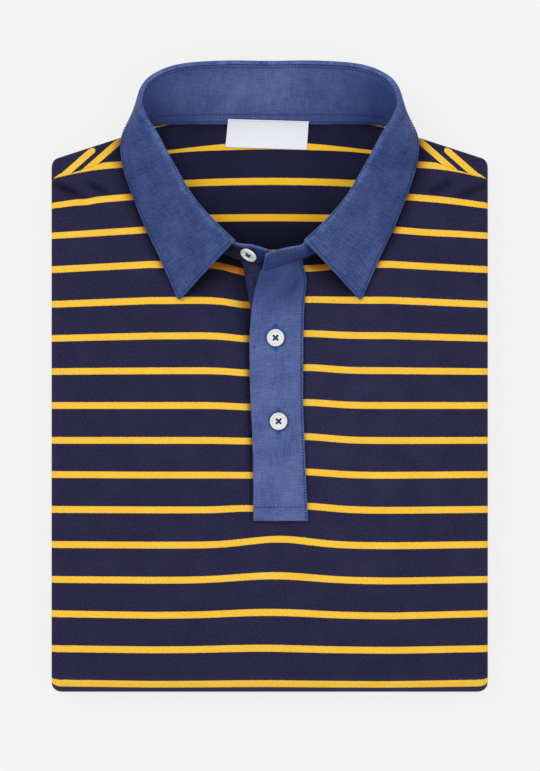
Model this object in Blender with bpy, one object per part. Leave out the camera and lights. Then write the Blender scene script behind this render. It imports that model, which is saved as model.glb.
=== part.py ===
"""A long-sleeve polo shirt, folded for a shelf and lying on its back.

The sides and the sleeves are folded behind the body, and the lower half is turned up behind
them. So the front panel is one sheet: it runs down the top face, turns at the lower fold and
comes back as the underside, with its long edges rolled round the layers between. The back panel
shows inside the neck and wraps over the shoulders to a forward seam. The shirt-style collar, a
stand and a turned-down leaf, stands up round the open neck.

X runs across the shirt, +Y points to the collar and +Z is up. Sizes and tables are in millimetres,
and solid() makes metres of them. The tables' Y starts near the middle of the folded shirt, and
MIDDLE_Y is where the exact middle lies, so each object is moved to put the origin under it.
"""

import math

import bmesh
import bpy
import numpy as np
from mathutils import Matrix

MM = 0.001
SEAM_GAP = 0.3
MIDDLE_Y = -0.975

# The folded body.
HALF_WIDTH = 145.7
LOWER_FOLD_Y = -211.2
BODY_HEIGHT = 24.0
JERSEY = 1.2
ROLL_WIDE = 7.0
ROLL_HIGH = 5.5
ROLL_STEPS = 6
ROLL_END = math.radians(-70)
TURN_RADIUS = BODY_HEIGHT / 2
TURN_STEPS = 8
TURN_Y = LOWER_FOLD_Y + TURN_RADIUS
HEM_Y = 130.0
FACE_STEPS = 22
UNDERSIDE_STEPS = 3
DOME = 0.8

# The columns of the body's sheets, from the middle to where the side roll starts.
NECK_HALF_WIDTH = 83.0
COLUMNS = (0, 14, 28, 42, 53, 62, 70, 76, 80.5, NECK_HALF_WIDTH, 92, 104, 117, 129, 138)

# The neckline and the forward shoulder seam on the front panel, by distance from the middle.
NECKLINE = {
    "across": (0, 14, 28, 42, 62, 75, 80.5, 83),
    "y": (79, 79, 82.5, 90, 108.5, 128, 143, 152),
}
FORWARD_SEAM = {
    "across": (83, 99, 105, 116.5, 130, 138, 145, 151),
    "y": (152, 146.6, 144.8, 140.4, 136, 133.4, 130.8, 129),
}
BACK_NECKLINE = {"across": (0, 58, 70, 76, 83), "y": (171, 171, 169.5, 167, 161.6)}

# The shoulder fold, a straight slope that rounds off at the shoulder's corner.
SHOULDER_Y = 144.2
SHOULDER_SLOPE = math.tan(math.radians(17.9))
CORNER_START = 141.7
CORNER_WIDE = 4.0
CORNER_DROP = 3.0
BACK_DEPTH = 5.2
FOLD_STEPS = 6
BACK_END_Y = -196.0
BACK_ROWS_Y = (148.0, 118.0, 84.0, 40.0, BACK_END_Y)

# Long, low waves in the top face.
WAVES = (
    {"x": -78, "y": 62, "wide": 42, "long": 58, "height": 0.7},
    {"x": 84, "y": 24, "wide": 46, "long": 70, "height": 0.6},
    {"x": -60, "y": -92, "wide": 58, "long": 48, "height": 0.6},
    {"x": 72, "y": -120, "wide": 52, "long": 44, "height": 0.7},
    {"x": 8, "y": -166, "wide": 80, "long": 22, "height": 0.4},
    {"x": -112, "y": 108, "wide": 26, "long": 16, "height": 0.5},
    {"x": 114, "y": 106, "wide": 24, "long": 18, "height": 0.5},
)

# The hidden layers: folded sides and sleeves above, the turned-up lower half below.
LAYERS = 5
LAYERS_BOTTOM = JERSEY + SEAM_GAP
LAYERS_TOP = BODY_HEIGHT - BACK_DEPTH - SEAM_GAP
LAYERS_HALF_WIDTH = 136.5
LAYER_COLUMNS = (128, 112, 98, NECK_HALF_WIDTH, 62, 30, 0.0)
LAYER_EDGE = 1.4
LAYER_CORNER = 8.0
SHOULDER_INSET = 4.5
TURNED_UP_END_Y = 131.0
HEM_WAVE = 1.5
HEM_WAVE_LONG = 40.0

# Half of the collar, from the middle of the back to the end of the leaf's front edge. Each row
# is one cut across the collar: the stand's foot, the seam at its top, and the leaf's free edge.
# A height of None lies on the top face.
COLLAR = (
    {"foot": (0, 168, 21.2), "seam": (0, 205.7, 38), "edge": (0, 187, 3.5)},
    {"foot": (30, 168, 21.2), "seam": (30, 205.6, 38.4), "edge": (33, 187.5, 3.5)},
    {"foot": (58, 168, 21.3), "seam": (58, 203.4, 40), "edge": (66, 187.5, 5)},
    {"foot": (72, 166.5, 22.6), "seam": (74, 198, 42.5), "edge": (83, 185.5, 9)},
    {"foot": (80, 162.5, 25.2), "seam": (81.8, 190.2, 44.5), "edge": (88.8, 178, 16)},
    {"foot": (84, 155, 25.2), "seam": (84, 180, 45.5), "edge": (94.6, 168, 22.4)},
    {"foot": (85.5, 147, 25.2), "seam": (80.4, 169.6, 46.3), "edge": (98.4, 159.6, 25.6)},
    {"foot": (84.5, 138, None), "seam": (74.8, 159, 46.5), "edge": (99.2, 149, None)},
    {"foot": (79, 126, None), "seam": (65.2, 141, 46.5), "edge": (95.6, 132, None)},
    {"foot": (65, 107, None), "seam": (51.4, 118, 46), "edge": (84.2, 102, None)},
    {"foot": (46, 90, None), "seam": (36.8, 101.4, 45), "edge": (73.2, 78.5, None)},
    {"foot": (26, 80, None), "seam": (23.4, 89.2, 44), "edge": (60.8, 51.2, None)},
)
# The stand runs on past the leaf: at -X to an end with the neck button, and at +X to an end with
# the buttonhole, which lies over the first.
BUTTON_END = (
    {"foot": (-13, 76.4, None), "seam": (-11.6, 87.1, 43.2)},
    {"foot": (-5, 76.2, None), "seam": (-4, 84.9, 40.8)},
    {"foot": (5, 77.6, None), "seam": (5, 81.8, 36.7)},
)
BUTTONHOLE_END = (
    {"foot": (22, 78.6, None), "seam": (21, 87, 43.8)},
    {"foot": (10.6, 75.2, None), "seam": (9, 84.6, 43.6)},
    {"foot": (-5.5, 69.6, None), "seam": (-3, 81.2, 43)},
)
STAND_WALL = 1.6
STAND_BOW = 1.0
STAND_STEPS = 5
LEAF_WALL = 1.5
LEAF_BOW = 1.6
LEAF_STEPS = 6
CREST_RADIUS = 1.35
CREST_RISE = 0.9
CREST_STEPS = 6
CUTS_PER_ROW = 2
FOOT_LIFT = SEAM_GAP + 0.9
FOOT_OVER_PLACKET = 30.0
FOOT_CLIMB = 12.0
STAND_FRONT_Y = 100.0
EDGE_LIFT = SEAM_GAP + 0.85

# The placket: its top strip, and the underlap that shows beside the strip's upper end.
PLACKET = {
    "y": (79, 72, 66, 59, 51, 26, 8, -17, -43, -68, -96.4),
    "left": (-4, -5.9, -7.6, -9.6, -11.2, -13.4, -13.4, -12.8, -11.5, -11.1, -10.9),
    "right": (21.6, 22.8, 24.6, 24.3, 23.5, 22.5, 22.4, 22.3, 23.2, 24.2, 25.5),
}
UNDERLAP = {
    "y": (79, 51, 26, -92),
    "left": (-18.8, -13.7, -9.5, -8),
    "right": (17.5, 19.5, 18.5, 20),
}
PLACKET_TOP = {"left": 68.2, "right": 77.4}
UNDERLAP_TOP = {"left": 78, "right": 77}
UNDERLAP_WALL = 1.2
PLACKET_WALL = 1.6
PLACKET_COLUMNS = 5
PLACKET_ROWS = 16

# The buttons: a rimmed disc with four holes.
BUTTON_SIDES = 24
BUTTON_PROFILE = {
    "radius": (3.9, 4.5, 5.3, 5.8, 5.8, 5.2),
    "height": (1.5, 2.1, 2.2, 1.7, 0.6, 0),
}
HOLE_RADIUS = 0.75
HOLE_OFFSET = 1.35
HOLE_SIDES = 8
FRONT_BUTTONS = {"button_upper": (3.9, 25.6), "button_lower": (5.9, -30.0)}
BUTTON_LIFT = SEAM_GAP + 0.1
NECK_BUTTON_CUT = 2.0
NECK_BUTTON_HEIGHT = 0.6
NECK_BUTTON_STANDOFF = 2.1
NECK_BUTTON_LEAN = (-0.4, 0.1, -0.05)

# The neck label, bare, sewn to the foot of the stand and lying on the back panel's inside.
LABEL_CORNERS = {"left": (-27.7, 171.4, -29.7, 152.8), "right": (26, 169.9, 24.9, 151)}
LABEL_WALL = 1.0
LABEL_PROFILE = {"y": (150, 159, 164, 168, 173), "z": (20.4, 20.5, 21.4, 22.9, 25.2)}
LABEL_COLUMNS = 6
LABEL_ROWS = 7


def smooth(at, places, values):
    """Read a table between its rows, along cubic arcs that pass through every row."""
    places = np.asarray(places, float)
    values = np.asarray(values, float)
    at = np.clip(at, places[0], places[-1])
    slopes = np.gradient(values, places, axis=0)
    row = np.clip(np.searchsorted(places, at, side="right") - 1, 0, len(places) - 2)
    width = places[row + 1] - places[row]
    t = (at - places[row]) / width
    if values.ndim > 1:
        t = t[..., None]
        width = width[..., None]
    start = (2 * t**3 - 3 * t**2 + 1) * values[row] + (t**3 - 2 * t**2 + t) * width * slopes[row]
    end = (3 * t**2 - 2 * t**3) * values[row + 1] + (t**3 - t**2) * width * slopes[row + 1]
    return start + end


def unit(vectors):
    return vectors / np.linalg.norm(vectors, axis=-1, keepdims=True)


def normals(points):
    """The direction that a grid of points faces, at each of its points."""
    return unit(np.cross(np.gradient(points, axis=0), np.gradient(points, axis=1)))


def finish(name, colour, roughness):
    """A plain finish with the piece's colour."""
    material = bpy.data.materials.new(name)
    material.use_nodes = True
    shader = material.node_tree.nodes["Principled BSDF"]
    shader.inputs["Base Color"].default_value = (*colour, 1)
    shader.inputs["Roughness"].default_value = roughness
    shader.inputs["Metallic"].default_value = 0
    return material


def solid(name, mesh_data, material):
    """Make an object from a bmesh in millimetres, facing out and shaded smooth."""
    bmesh.ops.recalc_face_normals(mesh_data, faces=mesh_data.faces)
    mesh = bpy.data.meshes.new(name)
    mesh_data.to_mesh(mesh)
    mesh_data.free()
    points = np.empty(len(mesh.vertices) * 3)
    mesh.vertices.foreach_get("co", points)
    mesh.vertices.foreach_set("co", points * MM)
    mesh.materials.append(material)
    mesh.shade_smooth()
    mesh.set_sharp_from_angle(angle=math.radians(45))
    made = bpy.data.objects.new(name, mesh)
    made.location.y = -MIDDLE_Y * MM
    bpy.context.collection.objects.link(made)
    return made


def wall(name, outside, inside, material, kept=None):
    """A sheet of cloth: two grids of points with the same rows and columns, joined by a rim.

    kept says which of the grid's cells are cloth. All are when it isn't given.
    """
    rows, columns = outside.shape[:2]
    if kept is None:
        kept = np.ones((rows - 1, columns - 1), bool)
    cloth = bmesh.new()
    faces = [[[cloth.verts.new(p) for p in row] for row in grid] for grid in (outside, inside)]
    partner = {}
    for row in range(rows):
        for column in range(columns):
            partner[faces[0][row][column]] = faces[1][row][column]
    for row, column in np.argwhere(kept):
        for side in faces:
            corners = ((0, 0), (1, 0), (1, 1), (0, 1))
            cloth.faces.new([side[row + a][column + b] for a, b in corners])
    rim = [e for e in cloth.edges if e.is_boundary and e.verts[0] in partner]
    for edge in rim:
        a, b = edge.verts
        cloth.faces.new([a, b, partner[b], partner[a]])
    loose = [v for v in cloth.verts if not v.link_faces]
    bmesh.ops.delete(cloth, geom=loose, context="VERTS")
    return solid(name, cloth, material)


def rise(x, y):
    """How far the top face stands above its level height: a low dome and the waves."""
    flat_half = HALF_WIDTH - ROLL_WIDE
    across = np.clip(1 - (x / flat_half) ** 2, 0, 1)
    along = np.clip((y - TURN_Y) / 60, 0, 1) * np.clip((HALF_WIDTH - y) / 40, 0, 1)
    along = along**2 * (3 - 2 * along)
    height = DOME * np.ones_like(across)
    for wave in WAVES:
        u = (x - wave["x"]) / wave["wide"]
        v = (y - wave["y"]) / wave["long"]
        height = height + wave["height"] * np.exp(-(u**2) - v**2)
    return height * np.sqrt(across) * along


def top_face(x, y):
    return BODY_HEIGHT + rise(x, y)


def section(inset):
    """Across the folded body, from -X to +X: x, the depth under the top face, and the distance
    from the middle as measured over the cloth. inset is how far inside the outer skin it lies."""
    flat_half = HALF_WIDTH - ROLL_WIDE
    turn = np.linspace(math.pi / 2, ROLL_END, ROLL_STEPS + 1)[1:]
    roll_x = flat_half + (ROLL_WIDE - inset) * np.cos(turn)
    roll_depth = ROLL_HIGH - (ROLL_HIGH - inset) * np.sin(turn)
    over = flat_half + ROLL_WIDE * (math.pi / 2 - turn) / (math.pi / 2)
    half_x = np.concatenate([COLUMNS, roll_x])
    half_depth = np.concatenate([np.full(len(COLUMNS), float(inset)), roll_depth])
    half_over = np.concatenate([COLUMNS, over])
    x = np.concatenate([-half_x[:0:-1], half_x])
    depth = np.concatenate([half_depth[:0:-1], half_depth])
    return x, depth, np.concatenate([half_over[:0:-1], half_over])


def front_edge_y(over):
    """Where the front panel ends towards the collar: the neckline, then the forward seam."""
    neck = smooth(over, **named(NECKLINE, "across", "y"))
    seam = smooth(over, **named(FORWARD_SEAM, "across", "y"))
    return np.where(over <= NECK_HALF_WIDTH, neck, seam)


def named(table, places, values):
    return {"places": table[places], "values": table[values]}


def shoulder_y(over):
    """The shoulder fold, rounded off at the corner."""
    corner = np.clip((over - CORNER_START) / CORNER_WIDE, 0, 1.25)
    return SHOULDER_Y + (HALF_WIDTH - over) * SHOULDER_SLOPE - CORNER_DROP * corner**2


def front_panel(jersey):
    """Down the top face, round the lower fold and back along the underside to the hem."""
    skins = []
    for inset in (0, JERSEY):
        x, depth, over = section(inset)
        down = np.linspace(0, 1, FACE_STEPS + 1)[:, None]
        top = front_edge_y(over) * (1 - down) + TURN_Y * down
        lift = rise(x, top) * (depth <= inset)
        face = np.stack([x + 0 * top, top, BODY_HEIGHT - depth + lift], axis=-1)
        turn = np.linspace(0, math.pi, TURN_STEPS + 1)[1:, None]
        radius = TURN_RADIUS - depth
        lower = np.stack(
            [x + 0 * turn, TURN_Y - radius * np.sin(turn), TURN_RADIUS + radius * np.cos(turn)],
            axis=-1,
        )
        back = np.linspace(TURN_Y, HEM_Y, UNDERSIDE_STEPS + 1)[1:, None]
        underside = np.stack([x + 0 * back, back + 0 * x, depth + 0 * back], axis=-1)
        skins.append(np.concatenate([face, lower, underside]))
    return wall("front_panel", skins[0], skins[1], jersey)


def back_panel(jersey):
    """Over the shoulders from the forward seam, round the shoulder fold and down inside."""
    skins = []
    strap_rows = 3
    for inset in (0, JERSEY):
        over = section(0)[2]
        seam = front_edge_y(over) + SEAM_GAP * 1.2
        fold = shoulder_y(over) - BACK_DEPTH / 2
        neck = smooth(over, **named(BACK_NECKLINE, "across", "y"))
        rows = []
        for share in np.linspace(0, 1, strap_rows + 1):
            rows.append((seam + (fold - seam) * share, inset))
        radius = BACK_DEPTH / 2 - inset
        for turn in np.linspace(0, math.pi, FOLD_STEPS + 1)[1:]:
            rows.append((fold + radius * math.sin(turn), BACK_DEPTH / 2 - radius * math.cos(turn)))
        inside = np.where(over < NECK_HALF_WIDTH, neck, fold)
        rows[-1] = (inside, BACK_DEPTH - inset)
        for end in BACK_ROWS_Y:
            rows.append((np.minimum(inside, end), BACK_DEPTH - inset))
        grid = []
        for y, sunk in rows:
            x, depth, _ = section(sunk)
            grid.append(np.stack([x, y + 0 * x, BODY_HEIGHT - depth], axis=-1))
        skins.append(np.array(grid))
    middle = (over[:-1] + over[1:]) / 2
    kept = np.ones((len(skins[0]) - 1, len(over) - 1), bool)
    kept[: strap_rows + FOLD_STEPS] = middle > NECK_HALF_WIDTH
    return wall("back_panel", skins[0], skins[1], jersey, kept)


def layer_outline(z, inset):
    """The hidden layers seen from above at one height, drawn in by inset at the edges."""
    half = LAYERS_HALF_WIDTH - inset
    reach = TURN_RADIUS - JERSEY - SEAM_GAP - 0.3 * inset
    fold_end = TURN_Y - math.sqrt(max(0.0, reach**2 - (TURN_RADIUS - z) ** 2))
    xs = np.array([half, *LAYER_COLUMNS])
    if z > TURN_RADIUS:
        neck = smooth(xs, **named(BACK_NECKLINE, "across", "y")) - SHOULDER_INSET
        shoulder = shoulder_y(xs) - SHOULDER_INSET
        ends = np.where(xs > NECK_HALF_WIDTH, shoulder, np.minimum(shoulder, neck))
    else:
        ends = TURNED_UP_END_Y - HEM_WAVE * np.cos(xs / HEM_WAVE_LONG)
    ends = ends - inset
    turn = np.linspace(0, math.pi / 2, 5)
    corner_x = half - LAYER_CORNER * (1 - np.cos(turn))
    low = fold_end + LAYER_CORNER * (1 - np.sin(turn))
    high = ends[0] - LAYER_CORNER * (1 - np.sin(turn))
    right_x = np.concatenate([corner_x[::-1], corner_x, xs[1:]])
    right_y = np.concatenate([low[::-1], high, ends[1:]])
    left = slice(-2, 0, -1)
    x = np.concatenate([[0], right_x, -right_x[left], [-right_x[0]]])
    y = np.concatenate([[fold_end], right_y, right_y[left], [right_y[0]]])
    return np.stack([x, y, np.full(len(x), z)], axis=-1)


def folded_layers(jersey):
    """The layers that no one sees, as one solid with a rounded edge for each."""
    thick = (LAYERS_TOP - LAYERS_BOTTOM) / LAYERS
    levels = []
    for layer in range(LAYERS):
        base = LAYERS_BOTTOM + layer * thick
        levels += [(base, LAYER_EDGE), (base + 0.25 * thick, 0.0), (base + 0.75 * thick, 0.0)]
    levels.append((LAYERS_TOP, LAYER_EDGE))
    stack = bmesh.new()
    rings = [[stack.verts.new(p) for p in layer_outline(z, inset)] for z, inset in levels]
    for below, above in zip(rings, rings[1:]):
        for i in range(len(below)):
            j = (i + 1) % len(below)
            stack.faces.new([below[i], below[j], above[j], above[i]])
    stack.faces.new(rings[0])
    stack.faces.new(rings[-1])
    return solid("folded_layers", stack, jersey)


def on_top(point, lift):
    """The point, with its height read from the top face where the table gives none."""
    x, y, z = point
    if z is None:
        over_placket = min(1.0, max(0.0, (FOOT_OVER_PLACKET - abs(x)) / FOOT_CLIMB + 1))
        strips = UNDERLAP_WALL + SEAM_GAP if y < STAND_FRONT_Y and lift == FOOT_LIFT else 0
        z = float(top_face(np.float64(x), np.float64(y))) + lift + strips * over_placket
    return (x, y, z)


def collar_rows():
    """Every cut across the collar, from the button end round the back to the buttonhole end."""
    half = [
        {
            "foot": on_top(row["foot"], FOOT_LIFT),
            "seam": row["seam"],
            "edge": on_top(row["edge"], EDGE_LIFT),
        }
        for row in COLLAR
    ]
    mirrored = [{k: (-p[0], p[1], p[2]) for k, p in row.items()} for row in half]
    ends = [
        [{"foot": on_top(row["foot"], FOOT_LIFT), "seam": row["seam"]} for row in end]
        for end in (BUTTON_END[::-1], BUTTONHOLE_END)
    ]
    return ends[0], mirrored[:0:-1] + half, ends[1]


def cuts(rows, key):
    """The rows' points under one name, with more cuts read between them."""
    values = np.array([row[key] for row in rows], float)
    at = np.linspace(0, len(rows) - 1, (len(rows) - 1) * CUTS_PER_ROW + 1)
    return smooth(at, np.arange(len(rows)), values)


def stand_surface():
    """The middle of the stand's wall: from its foot to its seam, a little bowed."""
    button_end, round_neck, buttonhole_end = collar_rows()
    rows = button_end + round_neck + buttonhole_end
    foot = cuts(rows, "foot")[:, None]
    seam = cuts(rows, "seam")[:, None]
    up = np.linspace(0, 1, STAND_STEPS + 1)[None, :, None]
    flat = foot + (seam - foot) * up
    return flat + STAND_BOW * np.sin(math.pi * up) * normals(flat)


def collar_stand(chambray):
    surface = stand_surface()
    half = STAND_WALL / 2 * normals(surface)
    return wall("collar_stand", surface + half, surface - half, chambray)


def leaf_surface():
    """The middle of the leaf's wall: up from the seam, over the crest and down to its edge.

    The crest turns square to the seam, so it keeps its radius where the cuts run aslant.
    """
    rows = collar_rows()[1]
    foot, seam, edge = (cuts(rows, key) for key in ("foot", "seam", "edge"))
    along = unit(np.gradient(seam, axis=0))
    out = unit(np.cross(along, seam - foot))
    out = out * np.sign(np.sum(out * (edge - seam)))
    up = np.cross(out, along)
    up = up * np.sign(np.sum(up * (seam - foot)))
    crest = seam + CREST_RISE * up
    centre = crest + CREST_RADIUS * out
    fall = edge - centre
    fall_out, fall_up = np.sum(fall * out, axis=1), np.sum(fall * up, axis=1)
    stop = np.arctan2(fall_up, fall_out) + np.arccos(CREST_RADIUS / np.hypot(fall_out, fall_up))
    points = [seam + (SEAM_GAP + 0.05) * up]
    for share in np.linspace(0, 1, CREST_STEPS + 1):
        turn = (math.pi * (1 - share) + stop * share)[:, None]
        points.append(centre + CREST_RADIUS * (np.cos(turn) * out + np.sin(turn) * up))
    last = points[-1]
    lift = unit(np.cross(np.gradient(edge, axis=0), edge - last))
    lift = lift * np.sign(lift[:, 2:3])
    for share in np.linspace(0, 1, LEAF_STEPS + 1)[1:]:
        points.append(last + (edge - last) * share + LEAF_BOW * math.sin(math.pi * share) * lift)
    return np.stack(points, axis=1)


def collar_leaf(chambray):
    surface = leaf_surface()
    half = LEAF_WALL / 2 * normals(surface)
    return wall("collar_leaf", surface + half, surface - half, chambray)


def strip(name, table, top, under, thick, chambray):
    """A strip of the placket, lying on the top face and following it."""
    across = np.linspace(0, 1, PLACKET_COLUMNS)[None]
    down = np.linspace(0, 1, PLACKET_ROWS)[:, None]
    start = top["left"] + (top["right"] - top["left"]) * across
    y = start + (table["y"][-1] - start) * down
    left = smooth(y, table["y"][::-1], table["left"][::-1])
    right = smooth(y, table["y"][::-1], table["right"][::-1])
    x = left + (right - left) * across
    low = top_face(x, y) + under
    outside = np.stack([x, y, low + thick], axis=-1)
    inside = np.stack([x, y, low], axis=-1)
    return wall(name, outside, inside, chambray)


def ring(shape, radius, height, sides, x=0.0, y=0.0):
    turns = [2 * math.pi * i / sides for i in range(sides)]
    spots = [(x + radius * math.cos(t), y + radius * math.sin(t), height) for t in turns]
    return [shape.verts.new(spot) for spot in spots]


def band(shape, lower, upper):
    for i in range(len(lower)):
        j = (i + 1) % len(lower)
        shape.faces.new([lower[i], lower[j], upper[j], upper[i]])


def fill(shape, loops):
    """Close the flat face between an outer ring and the rings of the holes."""
    edges = []
    for loop in loops:
        for i in range(len(loop)):
            edge = shape.edges.get((loop[i], loop[(i + 1) % len(loop)]))
            edges.append(edge)
    bmesh.ops.triangle_fill(shape, use_beauty=True, use_dissolve=False, edges=edges)


def button(name, plastic):
    """A disc turned from its rim's profile, with four round holes through its floor."""
    disc = bmesh.new()
    profile = zip(BUTTON_PROFILE["radius"], BUTTON_PROFILE["height"])
    rings = [ring(disc, radius, height, BUTTON_SIDES) for radius, height in profile]
    for upper, lower in zip(rings, rings[1:]):
        band(disc, lower, upper)
    floors = [[rings[0]], [rings[-1]]]
    for x in (-HOLE_OFFSET, HOLE_OFFSET):
        for y in (-HOLE_OFFSET, HOLE_OFFSET):
            top = ring(disc, HOLE_RADIUS, BUTTON_PROFILE["height"][0], HOLE_SIDES, x, y)
            bottom = ring(disc, HOLE_RADIUS, BUTTON_PROFILE["height"][-1], HOLE_SIDES, x, y)
            band(disc, top, bottom)
            floors[0].append(top)
            floors[1].append(bottom)
    for loops in floors:
        fill(disc, loops)
    return solid(name, disc, plastic)


def face_along(thing, spot, normal, across):
    """Put an object at a spot, with its +Z along normal and its +X near across."""
    z = unit(np.asarray(normal, float))
    x = unit(np.asarray(across, float) - np.dot(across, z) * z)
    y = np.cross(z, x)
    matrix = np.eye(4)
    matrix[:3, 0], matrix[:3, 1], matrix[:3, 2] = x, y, z
    matrix[:3, 3] = (np.asarray(spot) - (0, MIDDLE_Y, 0)) * MM
    thing.matrix_world = Matrix(matrix.tolist())


def buttons(plastic):
    over_strip = UNDERLAP_WALL + PLACKET_WALL + 2 * SEAM_GAP + BUTTON_LIFT
    for name, (x, y) in FRONT_BUTTONS.items():
        spot = (x, y, float(top_face(np.float64(x), np.float64(y))) + over_strip)
        face_along(button(name, plastic), spot, (0, 0, 1), (1, 0, 0))
    surface = stand_surface()
    facing = normals(surface)
    column = NECK_BUTTON_CUT * CUTS_PER_ROW
    row = NECK_BUTTON_HEIGHT * STAND_STEPS
    i, j = round(column), int(row)
    share = row - j
    spot = surface[i, j] * (1 - share) + surface[i, j + 1] * share
    normal = facing[i, j]
    normal = unit(normal * np.sign(normal[2]) + NECK_BUTTON_LEAN)
    away = STAND_WALL / 2 + SEAM_GAP + NECK_BUTTON_STANDOFF
    across = surface[i + 1, j] - surface[i - 1, j]
    face_along(button("button_neck", plastic), spot + away * normal, normal, across)


def neck_label(tape):
    across = np.linspace(0, 1, LABEL_COLUMNS)[None]
    down = np.linspace(0, 1, LABEL_ROWS)[:, None]
    corners = {side: np.array(c) for side, c in LABEL_CORNERS.items()}
    top = [corners["left"][i] * (1 - across) + corners["right"][i] * across for i in (0, 1)]
    low = [corners["left"][i] * (1 - across) + corners["right"][i] * across for i in (2, 3)]
    x = top[0] * (1 - down) + low[0] * down
    y = top[1] * (1 - down) + low[1] * down
    z = smooth(y, **named(LABEL_PROFILE, "y", "z"))
    under = np.stack([x, y, z], axis=-1)
    over = np.stack([x, y, z + LABEL_WALL], axis=-1)
    return wall("neck_label", over, under, tape)


def main():
    for old in list(bpy.data.objects):
        bpy.data.objects.remove(old, do_unlink=True)
    jersey = finish("navy jersey", (0.026, 0.024, 0.069), 0.9)
    chambray = finish("blue chambray", (0.075, 0.11, 0.29), 0.85)
    plastic = finish("white plastic", (0.82, 0.83, 0.8), 0.3)
    tape = finish("white woven tape", (0.8, 0.8, 0.84), 0.7)
    front_panel(jersey)
    back_panel(jersey)
    folded_layers(jersey)
    collar_stand(chambray)
    collar_leaf(chambray)
    over_underlap = UNDERLAP_WALL + 2 * SEAM_GAP
    strip("placket_under", UNDERLAP, UNDERLAP_TOP, SEAM_GAP, UNDERLAP_WALL, chambray)
    strip("placket_top", PLACKET, PLACKET_TOP, over_underlap, PLACKET_WALL, chambray)
    buttons(plastic)
    neck_label(tape)


main()
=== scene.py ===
"""The looks of a folded long-sleeve polo shirt: striped jersey with a chambray collar and placket.

Each piece is a surface worked out on a grid of points, in millimetres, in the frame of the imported
solids: X across the shirt, +Y to the collar, +Z up. A sheet of cloth is two such grids, its
outside and its inside, joined round its edges. piece() turns millimetres into metres.
"""

import math

import bpy
import numpy as np
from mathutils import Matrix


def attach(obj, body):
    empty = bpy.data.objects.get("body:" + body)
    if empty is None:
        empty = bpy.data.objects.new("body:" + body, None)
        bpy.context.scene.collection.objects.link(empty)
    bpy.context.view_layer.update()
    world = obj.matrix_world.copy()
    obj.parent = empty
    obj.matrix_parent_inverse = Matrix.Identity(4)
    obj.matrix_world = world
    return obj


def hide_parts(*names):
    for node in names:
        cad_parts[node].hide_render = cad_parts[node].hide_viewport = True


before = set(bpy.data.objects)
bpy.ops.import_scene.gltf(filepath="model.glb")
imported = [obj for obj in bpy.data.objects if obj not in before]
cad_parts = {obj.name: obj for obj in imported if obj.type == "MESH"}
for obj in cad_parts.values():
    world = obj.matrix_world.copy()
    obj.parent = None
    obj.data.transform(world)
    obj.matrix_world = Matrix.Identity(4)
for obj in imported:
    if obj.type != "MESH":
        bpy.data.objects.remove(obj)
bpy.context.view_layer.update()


def table(columns, *rows):
    """The rows of a table, each under its columns' names."""
    return [dict(zip(columns.split(), row)) for row in rows]


MM = 0.001
SEAM_GAP = 0.3
MIDDLE_Y = -0.975

# The folded body, as its solids have it.
HALF_WIDTH = 145.7
LOWER_FOLD_Y = -211.2
BODY_HEIGHT = 24.0
JERSEY = 1.2
ROLL_WIDE = 7.0
ROLL_HIGH = 5.5
ROLL_END = math.radians(-70)
TURN_RADIUS = BODY_HEIGHT / 2
TURN_Y = LOWER_FOLD_Y + TURN_RADIUS
HEM_Y = 130.0
DOME = {"height": 0.8, "lower": 60, "upper": 40}
NECK_HALF_WIDTH = 83.0
NECKLINE = {
    "across": (0, 14, 28, 42, 62, 75, 80.5, 83),
    "y": (79, 79, 82.5, 90, 108.5, 128, 143, 152),
}
FORWARD_SEAM = {
    "across": (83, 99, 105, 116.5, 130, 138, 145, 151),
    "y": (152, 146.6, 144.8, 140.4, 136, 133.4, 130.8, 129),
}
BACK_NECKLINE = {"across": (0, 58, 70, 76, 83), "y": (171, 171, 169.5, 167, 161.6)}
SHOULDER_Y = 144.2
SHOULDER_SLOPE = math.tan(math.radians(17.9))
CORNER_START = 141.7
CORNER_WIDE = 4.0
CORNER_DROP = 3.0
BACK_DEPTH = 5.2
BACK_END_Y = -196.0
SEAM_LAP = 0.05
# A sheet's first lines in from its edge, which they round, and a distance past any rounding.
BORDER = np.array([0, 0.1, 0.3, 0.6])
FAR = 99.0
UP = np.array([0, 0, 1.0])
COLUMN_STEP = 2.0
# The hidden layers, as their solid has them, and how far each is drawn in.
LAYERS_HALF_WIDTH = 136.5
LAYER_CORNER = 8.0
LAYER_COVER = 30.0
LAYER_GAP = 0.06
LAYER_STRIPE_SLANT = 1.7
LAYER_INSETS = (0.4, 1.8, 0.2, 1.4, 0.0, 2.2, 0.7, 1.2)
SHOULDER_INSET = 4.5
TURNED_UP_END_Y = 131.0
HEM_WAVE = 1.5
HEM_WAVE_LONG = 40
# Low waves in the top face.
WAVES = table(
    "x y wide long height",
    (-78, 62, 42, 58, 0.7),
    (84, 24, 46, 70, 0.6),
    (-60, -92, 58, 48, 0.6),
    (72, -120, 52, 44, 0.7),
    (8, -166, 80, 22, 0.4),
    (-112, 108, 26, 16, 0.5),
    (114, 106, 24, 18, 0.5),
)

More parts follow.
